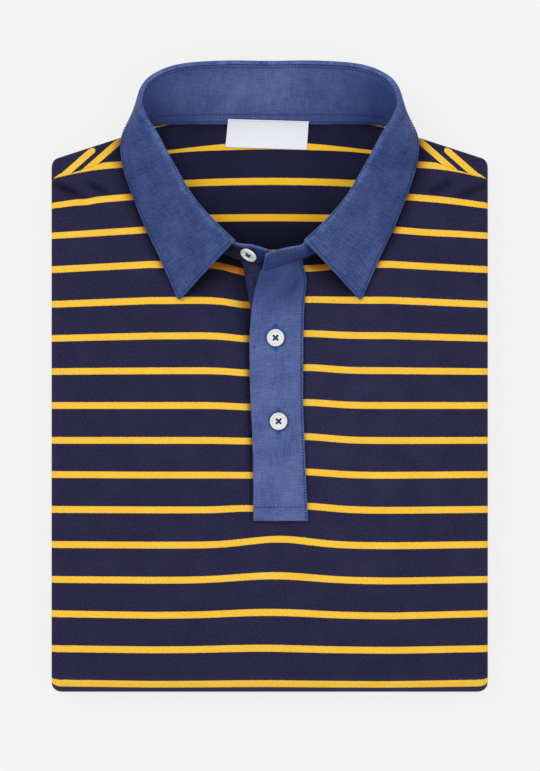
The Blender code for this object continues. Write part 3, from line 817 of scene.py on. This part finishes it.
def front_edge_y(across):
    over = np.abs(across)
    neck = read(NECKLINE, "across", "y", over)
    seam = read(FORWARD_SEAM, "across", "y", over)
    return np.where(over <= NECK_HALF_WIDTH, neck, seam)


def shoulder_y(across):
    over = np.abs(across)
    corner = np.clip((over - CORNER_START) / CORNER_WIDE, 0, 1.25)
    return SHOULDER_Y + (HALF_WIDTH - over) * SHOULDER_SLOPE - CORNER_DROP * corner**2


def front_stripes(across, run):
    """The stripe's number at a place on the front, from the stripes' heights there.

    A stripe sinks towards the sides along a power curve. It is pulled at the placket's edges and
    humped below it, and both die away with the square of the distance.
    """
    over = np.clip(np.abs(across), SINK_START, HALF_WIDTH)
    side = (over - SINK_START) / (HALF_WIDTH - SINK_START)
    share = ease((across - PULLS["left"]["x"]) / (PULLS["right"]["x"] - PULLS["left"]["x"]))
    near = {
        "left": np.clip(PULLS["left"]["x"] - across, 0, None) / PULLS["left"]["reach"],
        "right": np.clip(across - PULLS["right"]["x"], 0, None) / PULLS["right"]["reach"],
    }
    near = {key: np.exp(-(away**2)) for key, away in near.items()}
    near["left"] = near["left"] * (1 - share)
    near["right"] = near["right"] * share
    heights = []
    for stripe in range(len(STRIPES["number"])):
        row = {key: values[stripe] for key, values in STRIPES.items()}
        pulls = sum(row[key] * near[key] for key in near)
        hump = row["hump"] * np.exp(-(((across - row["hump_x"]) / row["hump_reach"]) ** 2))
        heights.append(row["y"] + row["side"] * side ** row["bend"] + pulls + hump)
    for shift in STRIPE_SHIFTS:
        run = run - shift["by"] * bell(across, run, shift)
    return number_at(np.stack(heights), STRIPES["number"], run)


def number_at(heights, numbers, y):
    """Where y lies between the stripes' heights, as a number: whole on a stripe's middle."""
    numbers = np.array(numbers, float)
    heights = heights + 0 * y
    row = np.clip(np.sum(heights > y, axis=0) - 1, 0, len(numbers) - 2)
    above = np.take_along_axis(heights, row[None], axis=0)[0]
    below = np.take_along_axis(heights, row[None] + 1, axis=0)[0]
    share = (above - y) / (above - below)
    return numbers[row] + share * (numbers[row + 1] - numbers[row])


def front_jersey(jersey):
    """The front: down the top face, round the lower fold, and back along the underside.

    run is the distance down the cloth, as the height y that the cloth would have unfolded.
    """
    across = body_columns(COLUMN_STEP)[None]
    border = BORDER[:, None]
    edge = front_edge_y(across)
    down = np.linspace(0, 1, 151)[:, None]
    top = np.concatenate([edge - border, (edge - 1) * (1 - down) + TURN_Y * down])
    turn = np.linspace(0, math.pi, 25)[1:, None]
    back = np.linspace(TURN_Y, HEM_Y - 1, 71)[1:, None]
    back = np.concatenate([back, HEM_Y - border[::-1]])
    round_fold = math.pi * TURN_RADIUS
    run = np.concatenate([
        top,
        TURN_Y - TURN_RADIUS * turn + 0 * across,
        TURN_Y - round_fold - (back - TURN_Y) + 0 * across,
    ])
    from_edge = np.concatenate([
        edge - top, np.full((len(turn), 1), FAR) + 0 * across, HEM_Y - back + 0 * across,
    ])
    skins = []
    for inset in (0, JERSEY):
        x, depth = section(across, inset)
        lift = rise(x, top) * (depth <= inset)
        lift = lift - creased(x, top, "depth") * ease((HALF_WIDTH - 3 - np.abs(x)) / 8)
        face = vectors(x, top, BODY_HEIGHT - depth + lift)
        radius = TURN_RADIUS - depth
        lower = vectors(x, TURN_Y - radius * np.sin(turn), TURN_RADIUS + radius * np.cos(turn))
        skins.append(np.concatenate([face, lower, vectors(x, back, depth)]))
    outside, inside = rounded(skins, from_edge)
    number = front_stripes(across + 0 * run, run)
    # Painted shade on the top face; none round the fold and under it.
    tone = np.ones_like(run)
    tone[: len(top)] = front_painted_shade(across, top)
    wide = WIDE_STRIPE
    there = ease((wide["top"] - run) / wide["over"]) * ease((run - wide["bottom"]) / wide["over"])
    half = STRIPE_WIDTH / 2 / STRIPE_PITCH * (1 + wide["by"] * there)
    layers = {"stripe": vectors(number, half, 0.0), "cloth": vectors(across, run, tone)}
    made = wall("front_jersey", outside, inside, jersey, "striped_jersey", layers)
    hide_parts("front_panel")


def strap_number(across, y):
    """On the shoulder the stripes are two slanting bands, side by side, mirrored at +X.

    The first ends in a half circle short of the fold.
    """
    turn = math.radians(STRAP_STRIPE["heading"])
    dx = -np.abs(across) - STRAP_STRIPE["x"]
    dy = y - STRAP_STRIPE["y"]
    off = (dx * math.sin(turn) - dy * math.cos(turn)) / STRAP_STRIPE["pitch"]
    along = dx * math.cos(turn) + dy * math.sin(turn)
    past = np.clip(along - STRAP_STRIPE["end"], 0, None) / STRAP_STRIPE["pitch"]
    first = np.clip(np.hypot(off, past), 0, 0.49)
    return np.where(off < 0.5, first, np.clip(off, 0.5, 1.49))


def back_number(across, y):
    """The back's stripes inside the neck: level in the middle and falling to the sides."""
    fall = (across / 70) ** 2 + 0 * y
    plan = zip(BACK_STRIPES["y"], BACK_STRIPES["drop"])
    heights = np.stack([height - drop * fall for height, drop in plan])
    return number_at(heights, BACK_STRIPES["number"], y)


def back_jersey(jersey):
    """The back: from the forward seam over the shoulder fold, a half circle, and down inside."""
    across = body_columns(COLUMN_STEP)
    seam = front_edge_y(across) + SEAM_LAP
    fold = shoulder_y(across) - BACK_DEPTH / 2
    neck = read(BACK_NECKLINE, "across", "y", np.abs(across))
    inside_top = np.where(np.abs(across) < NECK_HALF_WIDTH, neck, fold)
    strap = [seam + b for b in BORDER]
    strap += [seam + 1 + (fold - seam - 1) * s for s in np.linspace(0, 1, 9)]
    turns = np.linspace(0, math.pi, 11)[1:-1]
    first_inside = len(strap) + len(turns)
    inner = [inside_top - b for b in BORDER]
    inner += [inside_top - 1 + (BACK_END_Y + 1 - inside_top) * s for s in np.linspace(0, 1, 160)]
    skins = []
    for inset in (0, JERSEY):
        grid = []
        radius = BACK_DEPTH / 2 - inset
        rows = [(y, inset) for y in strap]
        rows += [
            (fold + radius * math.sin(t), BACK_DEPTH / 2 - radius * math.cos(t)) for t in turns
        ]
        rows += [(y, BACK_DEPTH - inset) for y in inner]
        for y, sunk in rows:
            x, depth = section(across, sunk)
            grid.append(np.stack([x, y, BODY_HEIGHT - depth], axis=-1))
        skins.append(np.array(grid))
    strap_run = np.array(strap + [fold + BACK_DEPTH / 2 * t for t in turns])
    inner_run = np.array(inner)
    numbers = np.concatenate([
        strap_number(across, strap_run), back_number(across, inner_run),
    ])
    plan = BACK_STRIPE_TAPER
    taper = plan["by"] * ease((np.abs(across) - plan["x"]) / plan["over"])
    taper = taper * ease((inner_run - plan["y"]) / plan["above"])
    half = np.concatenate([
        np.full(strap_run.shape, STRAP_STRIPE["width"] / 2 / STRAP_STRIPE["pitch"]),
        BACK_STRIPE_WIDTH / 2 / BACK_STRIPE_PITCH * (1 - taper),
    ])
    from_edge = np.full(numbers.shape, FAR)
    from_edge[: len(strap)] = strap_run[: len(strap)] - seam
    open_neck = np.abs(across) < NECK_HALF_WIDTH
    from_edge[first_inside:, open_neck] = (inside_top - inner_run)[:, open_neck]
    outside, inside = rounded(skins, from_edge)
    between = (np.abs(across)[:-1] + np.abs(across)[1:]) / 2
    kept = np.ones((len(outside) - 1, len(across) - 1), bool)
    kept[:first_inside] = between > NECK_HALF_WIDTH
    run = np.concatenate([strap_run, inner_run])
    reverse = np.concatenate([0 * strap_run, 1 + 0 * inner_run])
    # Painted shade: over the shoulder as on the front, and inside the neck by height.
    tone = np.concatenate([
        front_painted_shade(across, strap_run), read(NECK_SHADE, "y", "tone", inner_run),
    ])
    layers = {"stripe": vectors(numbers, half, reverse), "cloth": vectors(across, run, tone)}
    made = wall("back_jersey", outside, inside, jersey, "striped_jersey", layers, kept)
    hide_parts("back_panel")


# The collar


def on_top(point, lift):
    """The point, with its height read from the top face where the table gives none."""
    x, y, z = point
    if z is None:
        over_placket = min(1.0, max(0.0, (FOOT_OVER_PLACKET - abs(x)) / FOOT_CLIMB + 1))
        strips = UNDERLAP_WALL + SEAM_GAP if y < STAND_FRONT_Y and lift == FOOT_LIFT else 0
        z = float(top_face(np.float64(x), np.float64(y))) + lift + strips * over_placket
    return (x, y, z)


def collar_rows():
    """Every cut across the collar: the button end, round the neck, and the buttonhole end."""
    button_end, half, buttonhole_end = (
        [{key: on_top(point, LIFTS[key]) for key, point in row.items()} for row in rows]
        for rows in (BUTTON_END[::-1], COLLAR, BUTTONHOLE_END)
    )
    mirrored = [{key: (-x, y, z) for key, (x, y, z) in row.items()} for row in half]
    return button_end, mirrored[:0:-1] + half, buttonhole_end


def cuts(rows, key):
    """The rows' points under one name, read at many more places, close together at the ends."""
    values = np.array([row[key] for row in rows], float)
    count = (len(rows) - 1) * CUTS_PER_ROW
    at = np.linspace(0, len(rows) - 1, count + 1)
    near = np.array([0.005, 0.015, 0.03])
    at = np.concatenate([[0], near, at[1:-1], at[-1] - near[::-1], [at[-1]]])
    return smooth(at, np.arange(len(rows)), values)


def cut_places(rows):
    """Which row each cut lies at, as a number."""
    return cuts([{"at": (i,)} for i in range(len(rows))], "at")


def stand_rows():
    button_end, round_neck, buttonhole_end = collar_rows()
    return button_end + round_neck + buttonhole_end


def stand_middle():
    """The middle of the stand: from foot to seam with a low bow between.

    At the buttonhole end the top turns in, so the bow there is high and near the top.
    """
    rows = stand_rows()
    foot = cuts(rows, "foot")[:, None]
    seam = cuts(rows, "seam")[:, None]
    up = stations(STAND_HIGH, 1.0)[None, :, None]
    flat = foot + (seam - foot) * up
    facing = normals(flat)
    facing = facing * np.sign(facing[..., 2:3])
    row = cut_places(rows)[:, None]
    turned = np.exp(-(((row - (len(rows) - 1 - TURN_IN["row"])) / TURN_IN["reach"]) ** 2))
    high = np.where(up < TURN_IN["up"], up / TURN_IN["up"], (1 - up) / (1 - TURN_IN["up"]))
    bow = STAND_BOW * np.sin(math.pi * up) + TURN_IN["out"] * turned * ease(high)
    return flat + bow * facing


def stand_painted_shade():
    """The stand's painted light and shade at each point, by its cut and its share of the way up."""
    row = cut_places(stand_rows())
    foot, face, edge = (
        np.interp(row, STAND_SHADE["row"], STAND_SHADE[key]) for key in ("foot", "face", "edge")
    )
    up = stations(STAND_HIGH, 1.0)[None]
    return foot + (face - foot) * ease(up / 0.4) + (edge - face) * ease((up - 0.84) / 0.1)


def leaf_middle():
    """The middle of the leaf: up from the seam, over a round crest and down to its edge."""
    rows = collar_rows()[1]
    foot, seam, edge = (cuts(rows, key) for key in ("foot", "seam", "edge"))
    along = unit(np.gradient(seam, axis=0))
    out = unit(np.cross(along, seam - foot))
    out = out * np.sign(np.sum(out * (edge - seam)))
    up = np.cross(out, along)
    up = up * np.sign(np.sum(up * (seam - foot)))
    crest = seam + CREST_RISE * up
    centre = crest + CREST_RADIUS * out
    fall = edge - centre
    fall_out, fall_up = np.sum(fall * out, axis=1), np.sum(fall * up, axis=1)
    stop = np.arctan2(fall_up, fall_out) + np.arccos(CREST_RADIUS / np.hypot(fall_out, fall_up))
    points = [seam + (SEAM_GAP + 0.05 + b) * up for b in BORDER]
    for share in np.linspace(0, 1, 15):
        turn = (math.pi * (1 - share) + stop * share)[:, None]
        points.append(centre + CREST_RADIUS * (np.cos(turn) * out + np.sin(turn) * up))
    last = points[-1]
    lift = unit(np.cross(np.gradient(edge, axis=0), edge - last))
    lift = lift * np.sign(np.sum(lift * (out + up), axis=1, keepdims=True))
    lift = lift * np.clip(lift[:, 2:3], 0, 1)
    from_end = lengths(edge[:, None], 0)[:, 0]
    from_end = np.minimum(from_end, from_end[-1] - from_end)
    inward = np.clip(1 - from_end / TIP_RADIUS, 0, 1)
    drawn = TIP_RADIUS * (1 - np.sqrt(1 - inward**2)) / np.linalg.norm(edge - last, axis=1)
    edge = edge - (edge - last) * drawn[:, None]
    for share in stations(LEAF_FALL, 1.5)[len(BORDER):]:
        points.append(last + (edge - last) * share + LEAF_BOW * math.sin(math.pi * share) * lift)
    return np.stack(points, axis=1)


def leaf_painted_shade(leaf):
    """The leaf's painted light and shade at each point: by its cut, with a painted highlight over
    the crest.
    """
    row = cut_places(collar_rows()[1])
    face = read(LEAF_SHADE, "row", "tone", row)
    return face + (CREST_HIGHLIGHT - face) * np.exp(-((lengths(leaf, 1) / CREST_LIGHT) ** 4))


def woven_wall(name, middle, faces, material, slot, tone=1.0):
    """A woven sheet, with each point's place on its flat cloth: how far it is over the grid; and
    its painted shade.
    """
    along = lengths(middle, 0).mean(axis=1, keepdims=True)
    cloth = vectors(along, lengths(middle, 1), tone)
    return wall(name, *faces, material, slot, {"cloth": cloth})


def collar(chambray, leaf_chambray):
    stand = stand_middle()
    stand_faces = plump(stand, STAND_WALL)
    made = woven_wall("stand_chambray", stand, stand_faces, chambray, "chambray", stand_painted_shade())
    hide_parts("collar_stand")
    leaf = leaf_middle()
    leaf_faces = plump(leaf, LEAF_WALL)
    made = woven_wall("leaf_chambray", leaf, leaf_faces, leaf_chambray, "chambray", leaf_painted_shade(leaf))
    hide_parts("collar_leaf")
    return stand_faces, leaf_faces


# The placket


def strip_grid(edges, top, under, thick):
    """A strip on the top face: between its two edges, from its slanting top end down."""
    across = stations(STRIP_WIDE, 2.0)[None]
    down = stations(STRIP_LONG, 2.2)[:, None]
    start = top["left"] + (top["right"] - top["left"]) * across
    y = start + (edges["y"][-1] - start) * down
    left = smooth(y, edges["y"][::-1], edges["left"][::-1])
    right = smooth(y, edges["y"][::-1], edges["right"][::-1])
    x = left + (right - left) * across
    puckered, tone = puckers(x, y)
    middle = vectors(x, y, top_face(x, y) + under + thick / 2 + puckered)
    return middle, plump(middle, thick, UP), tone


def puckers(x, y):
    """Soft folds at the placket's upper end, where it climbs to the stand: their height, and the
    painted shade in them, towards the stand and round the buttons.
    """
    climb, dim = PLACKET_CLIMB, PLACKET_DIM
    height = climb["by"] * ease((y - climb["y"]) / climb["over"]) ** 2
    tone = 1 - dim["by"] * ease((y - dim["y"]) / dim["over"])
    for fold in PUCKERS:
        along, off = on_fold(x, y, fold)
        hollow = np.exp(-(off**2) - along**2)
        height = height - fold["depth"] * hollow
        tone = tone * (1 - fold["tone"] * hollow)
    for button_x, button_y in FRONT_BUTTONS.values():
        away = np.clip(np.hypot(x - button_x, y - button_y) - BUTTON_RADIUS, 0, None)
        dark = BUTTON_SHADE["depth"] * np.exp(-((away / BUTTON_SHADE["reach"]) ** 2))
        tone = tone * (1 - dark)
    return height, tone


def placket(chambray, under_chambray):
    over_underlap = UNDERLAP_WALL + 2 * SEAM_GAP
    plans = (
        ("underlap_chambray", "placket_under", under_chambray, UNDERLAP, UNDERLAP_TOP, SEAM_GAP,
         UNDERLAP_WALL),
        ("placket_chambray", "placket_top", chambray, PLACKET, PLACKET_TOP, over_underlap,
         PLACKET_WALL),
    )
    fronts = []
    for name, node, weave, edges, top, under, thick in plans:
        middle, faces, tone = strip_grid(edges, top, under, thick)
        # The underlap lies in painted shade.
        if node == "placket_under":
            tone = UNDERLAP_PAINTED_SHADE
        made = woven_wall(name, middle, faces, weave, "chambray", tone)
        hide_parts(node)
        fronts.append(faces[0])
    return fronts


# Buttons


def frame_at(spot, normal, across):
    """Three axes and a place: +Z along the normal and +X near the direction across."""
    z = unit(np.asarray(normal, float))
    x = unit(np.asarray(across, float) - np.dot(across, z) * z)
    return np.stack([x, np.cross(z, x), z]), np.asarray(spot, float)


def put(points, frame_and_spot):
    axes, spot = frame_and_spot
    return points @ axes + spot


def button_places():
    over_strip = UNDERLAP_WALL + PLACKET_WALL + 3 * SEAM_GAP + 0.1
    places = {}
    for name, (x, y) in FRONT_BUTTONS.items():
        z = float(top_face(np.float64(x), np.float64(y))) + over_strip
        places[name] = frame_at((x, y, z), UP, (1, 0, 0))
    rows = stand_rows()
    count = (len(rows) - 1) * 2 + 1
    at = np.linspace(0, len(rows) - 1, count)
    foot, seam = (
        smooth(at, np.arange(len(rows)), np.array([row[key] for row in rows], float))
        for key in ("foot", "seam")
    )
    up = np.linspace(0, 1, 6)[None, :, None]
    flat = foot[:, None] + (seam - foot)[:, None] * up
    surface = flat + STAND_BOW * np.sin(math.pi * up) * normals(flat)
    i, j = NECK_BUTTON_CUT, NECK_BUTTON_FIFTH
    normal = normals(surface)[i, j]
    normal = unit(normal * np.sign(normal[2]) + NECK_BUTTON_LEAN)
    away = STAND_WALL / 2 + SEAM_GAP + NECK_BUTTON_STANDOFF
    places["button_neck"] = frame_at(
        surface[i, j] + away * normal, normal, surface[i + 1, j] - surface[i - 1, j]
    )
    return places


def buttons(resin, thread):
    """The cast discs are the solids' own; here they get their finish and the sewing."""
    for name, place in button_places().items():
        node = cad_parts[name]
        node.data.materials.clear()
        node.data.materials.append(resin)
        crossing(name + "_thread", place, thread)


def crossing(name, place, thread):
    """Thread crossed over the button's four holes: two bundles, each bent down into two holes."""
    plan = CROSSING
    rings, sides = plan["rings"], plan["sides"]
    t = np.linspace(-1, 1, rings)
    spread = HOLE_OFFSET * math.sqrt(2) * plan["past_hole"]
    dip = plan["dip"] * np.clip(np.abs(t) - plan["bend"], 0, 1)
    points, faces = [], []
    for turn in (math.pi / 4, -math.pi / 4):
        for lane in (-plan["lane"], plan["lane"]):
            spine = vectors(
                spread * t * math.cos(turn) - lane * math.sin(turn),
                spread * t * math.sin(turn) + lane * math.cos(turn),
                plan["height"] + plan["over"] * (turn > 0) - dip,
            )
            faces += rings_to_faces(rings, sides, len(points) * rings * sides)
            points.append(tube(spine, plan["radius"], sides))
    piece(name, put(np.concatenate(points), place), faces, thread)


def tube(spine, radius, sides):
    """A round thread along a path: a ring square to the path at each of its points."""
    heading = unit(np.gradient(spine, axis=0))
    askew = np.array([0.13, 0.21, 1.0])
    side = unit(np.cross(heading, askew))
    up = np.cross(side, heading)
    turn = 2 * math.pi * np.arange(sides) / sides
    ring = np.cos(turn)[None, :, None] * side[:, None] + np.sin(turn)[None, :, None] * up[:, None]
    return (spine[:, None] + radius * ring).reshape(-1, 3)


# Stitches


def stitch_points(path, facing, pitch=STITCH_PITCH, long=STITCH_LONG, radius=STITCH_RADIUS):
    """Stitches along a path: each is a short tube whose ends dip into the cloth.

    Its height over the cloth falls with the square of the distance from its middle.
    """
    run = lengths(path[:, None], 0)[:, 0]
    count = max(1, int(run[-1] / pitch))
    middle = (np.arange(count) + 0.5) * run[-1] / count
    ring = np.linspace(-1, 1, STITCH_RINGS)
    at = middle[:, None] + ring * long / 2
    spine = np.stack([np.interp(at, run, path[:, k]) for k in range(3)], axis=-1)
    up = unit(np.stack([np.interp(at, run, facing[:, k]) for k in range(3)], axis=-1))
    heading = unit(np.gradient(spine, axis=1))
    side = np.cross(heading, up)
    spine = spine + up * (radius * (0.75 - 1.35 * ring**2))[None, :, None]
    width = (radius * np.sqrt(1 - 0.9 * ring**2))[None, :, None, None]
    turn = 2 * math.pi * np.arange(STITCH_RINGS) / STITCH_RINGS
    around = np.cos(turn)[:, None] * side[:, :, None] + np.sin(turn)[:, None] * up[:, :, None]
    return (spine[:, :, None] + width * around).reshape(-1, 3)


def stitches(name, rows, thread):
    """Join rows of stitches into one piece: each row a path, the way that it faces and sizes."""
    joined = np.concatenate([stitch_points(*row) for row in rows])
    faces = []
    for start in range(0, len(joined), STITCH_RINGS**2):
        faces += rings_to_faces(STITCH_RINGS, STITCH_RINGS, start)
    piece(name, joined, faces, thread)


def row_at(faces, distance, axis, end):
    """A path on a sheet's first face, at a steady distance from one of its edges, and the way
    that it faces."""
    grid, other = faces
    run = np.moveaxis(lengths(grid, axis), axis, 1)
    steps = np.arange(run.shape[1])
    if end:
        run, steps = (run[:, -1:] - run)[:, ::-1], steps[::-1]
    places = np.array([np.interp(distance, line, steps) for line in run])
    fixed = np.arange(len(run), dtype=float)
    rows, columns = (places, fixed) if axis == 0 else (fixed, places)
    path = at_grid(grid, rows, columns)
    return path, unit(path - at_grid(other, rows, columns))


def trimmed(row, start, end):
    """A path without the given lengths at its two ends."""
    path, facing = row
    run = lengths(path[:, None], 0)[:, 0]
    keep = (run >= start) & (run <= run[-1] - end)
    return path[keep], facing[keep]


def sewing(stand, leaf, strips, thread):
    crest = row_at(leaf, CREST_ROW, 1, False)
    beyond = lengths(crest[0][:, None], 0)[-1, 0] - CREST_ROW_LONG
    rows = [
        trimmed(row_at(leaf, LEAF_ROW, axis, end), start, LEAF_ROW)
        for axis, end, start in ((1, True, LEAF_ROW), (0, False, 5), (0, True, 5))
    ]
    rows += [trimmed(crest, 3, beyond), trimmed(crest, beyond, 3)]
    stitches("leaf_stitches", rows, thread)
    rows = [
        trimmed(row_at(faces, distance, axis, end), 2, 2)
        for faces in (stand, stand[::-1]) for distance, axis, end in STAND_ROWS
    ]
    stitches("stand_stitches", rows, thread)
    lap, strip = ((front, front - UP) for front in strips)
    rows = [
        (*trimmed(row_at(strip, PLACKET_ROW, 1, True), 1, 1), *PLACKET_STITCH),
        trimmed(row_at(strip, PLACKET_FOOT_ROW, 0, True), 0.8, 0.8),
    ]
    stitches("placket_stitches", rows, thread)
    stitches("underlap_stitches", [trimmed(row_at(lap, UNDERLAP_ROW, 1, False), 4, 90)], thread)


def buttonholes(thread):
    """A worked buttonhole under each button: a row of cross threads along each side of a slit."""
    over = UNDERLAP_WALL + 2 * SEAM_GAP + PLACKET_WALL
    rows = []
    for x, y in FRONT_BUTTONS.values():
        for middle in (x - HOLE["off"], x + HOLE["off"]):
            for at in y + np.linspace(-HOLE["half"], HOLE["half"], HOLE["threads"]):
                reach = np.linspace(middle - HOLE["reach"], middle + HOLE["reach"], 4)
                path = vectors(reach, at, top_face(reach, at) + over)
                rows.append((path, np.tile(UP, (4, 1)), *HOLE_STITCH))
    stitches("buttonholes", rows, thread)


# The label


def neck_label(tape, thread):
    """A bare tape between its four corners, lying over the stand's foot and the back."""
    across = stations(LABEL_WIDE, 1.5)[None]
    down = stations(LABEL_LONG, 1.0)[:, None]
    ends = zip(LABEL_CORNERS["left"], LABEL_CORNERS["right"])
    sides = [left * (1 - across) + right * across for left, right in ends]
    x = sides[0] * (1 - down) + sides[2] * down
    y = sides[1] * (1 - down) + sides[3] * down
    middle = vectors(x, y, read(LABEL_PROFILE, "y", "z", y) + LABEL_WALL / 2)
    faces = plump(middle, LABEL_TAPE, UP)
    made = woven_wall("neck_tape", middle, faces, tape, "label_tape")
    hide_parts("neck_label")
    stitches("label_stitches", [trimmed(row_at(faces, LABEL_ROW, 0, False), 1, 1)], thread)


# The hidden layers


def layer_outline(base, inset):
    """One hidden layer seen from above: straight sides, round corners, and an end that follows
    the shoulders above or the turned-up hem below."""
    half = LAYERS_HALF_WIDTH - inset
    reach = TURN_RADIUS - JERSEY - SEAM_GAP - 0.3 * inset
    fold_end = TURN_Y - math.sqrt(max(0.0, reach**2 - (TURN_RADIUS - base) ** 2))
    xs = np.concatenate([np.linspace(half, 92, 18), np.linspace(90, 2, 30)])
    if base > TURN_RADIUS:
        neck = read(BACK_NECKLINE, "across", "y", xs) + (xs > NECK_HALF_WIDTH) * FAR
        ends = np.minimum(shoulder_y(xs), neck) - SHOULDER_INSET
    else:
        ends = TURNED_UP_END_Y - HEM_WAVE * np.cos(xs / HEM_WAVE_LONG)
    ends = ends - inset
    turn = np.linspace(0, math.pi / 2, 9)
    corner_x = half - LAYER_CORNER * (1 - np.cos(turn))
    drawn = LAYER_CORNER * (1 - np.sin(turn))
    x = np.concatenate([corner_x[::-1], corner_x, xs[1:]])
    y = np.concatenate([(fold_end + drawn)[::-1], ends[0] - drawn, ends[1:]])
    return np.concatenate([x, -x[::-1]]), np.concatenate([y, y[::-1]])


def folded_jersey(jersey):
    """The hidden layers: a stack of flat folds, each with a rounded edge carried round it."""
    bottom, top = JERSEY + SEAM_GAP, BODY_HEIGHT - BACK_DEPTH - SEAM_GAP
    thick = (top - bottom) / len(LAYER_INSETS)
    turn = np.linspace(-math.pi / 2, math.pi / 2, 9)
    rings = [(thick / 2 * (1 - math.cos(t)), t) for t in turn]
    rings = [(LAYER_COVER, turn[0]), *rings, (LAYER_COVER, turn[-1])]
    points, faces = [], []
    for layer, inset in enumerate(LAYER_INSETS):
        level = bottom + layer * thick + thick / 2
        for drawn_in, t in rings:
            x, y = layer_outline(level, inset + drawn_in)
            points.append(vectors(x, y, level + (thick / 2 - LAYER_GAP) * math.sin(t)))
        faces += rings_to_faces(len(rings), len(x), layer * len(rings) * len(x))
    joined = np.concatenate(points)
    slant = joined[:, 2] * LAYER_STRIPE_SLANT
    number = (STRIPE_PITCH * 3 - joined[:, 1] + slant) / STRIPE_PITCH
    layers = {"stripe": vectors(number, STRIPE_WIDTH / 2 / STRIPE_PITCH, 0.0), "cloth": joined}
    made = piece("folded_jersey", joined, faces, jersey, layers)
    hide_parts("folded_layers")


# The studio


def studio():
    """A pale glowing floor, an even sky, two soft lamps, and the camera straight above."""
    finish = plain_material("pale floor", rgb(92, 92, 92), 0.9)
    glow = finish.node_tree.nodes["Principled BSDF"].inputs
    glow["Emission Color"].default_value = (1, 1, 1, 1)
    glow["Emission Strength"].default_value = FLOOR_GLOW
    mesh = bpy.data.meshes.new("floor")
    corners = [
        (x * FLOOR_REACH, y * FLOOR_REACH, -SEAM_GAP * MM)
        for x, y in ((-1, -1), (1, -1), (1, 1), (-1, 1))
    ]
    mesh.from_pydata(corners, [], [(0, 1, 2, 3)])
    mesh.materials.append(finish)
    placed("floor", mesh)

    world = bpy.data.worlds.new("studio")
    world.use_nodes = True
    sky = world.node_tree.nodes["Background"].inputs
    sky["Color"].default_value = (1, 1, 1, 1)
    sky["Strength"].default_value = SKY
    bpy.context.scene.world = world

    for plan in LAMPS:
        light = bpy.data.lights.new(plan["name"], "AREA")
        light.shape = "DISK"
        light.size = plan["size"]
        light.energy = plan["power"]
        lamp = placed(plan["name"], light)
        x, y, z = lamp.location = plan["place"]
        tilt = math.atan2(math.hypot(x, y), z)
        lamp.rotation_euler = (tilt, 0, math.atan2(y, x) + math.pi / 2)

    camera = placed("camera", bpy.data.cameras.new("camera"))
    camera.data.sensor_width = SENSOR
    camera.data.lens = SENSOR * (CAMERA_HEIGHT - BODY_HEIGHT) / PHOTO_LONG_SIDE
    camera.data.clip_end = 100
    x, y = PHOTO_MIDDLE
    camera.location = (x * MM, (y - MIDDLE_Y) * MM, CAMERA_HEIGHT * MM)
    bpy.context.scene.camera = camera
    bpy.context.scene.view_settings.view_transform = "Standard"


def main():
    jersey = jersey_material()
    chambray = chambray_material("blue chambray", rgb(60, 79, 133), rgb(102, 118, 172))
    leaf_chambray = chambray_material("deep chambray", rgb(40, 61, 116), rgb(108, 129, 184))
    # The underlap's chambray: the blue one greyed and darkened, as painted shade.
    under_chambray = chambray_material("shaded chambray", rgb(18, 21, 42), rgb(58, 61, 90))
    thread = thread_material("blue thread", rgb(6, 28, 90), rgb(20, 54, 132))
    hole_thread = thread_material("buttonhole thread", rgb(20, 64, 148), rgb(44, 96, 184))
    tape_thread = thread_material("white thread", rgb(200, 203, 216), rgb(232, 234, 242))
    folded_jersey(jersey)
    front_jersey(jersey)
    back_jersey(jersey)
    stand, leaf = collar(chambray, leaf_chambray)
    sewing(stand, leaf, placket(chambray, under_chambray), thread)
    buttonholes(hole_thread)
    buttons(button_material(), thread)
    neck_label(label_material(), tape_thread)
    studio()


main()
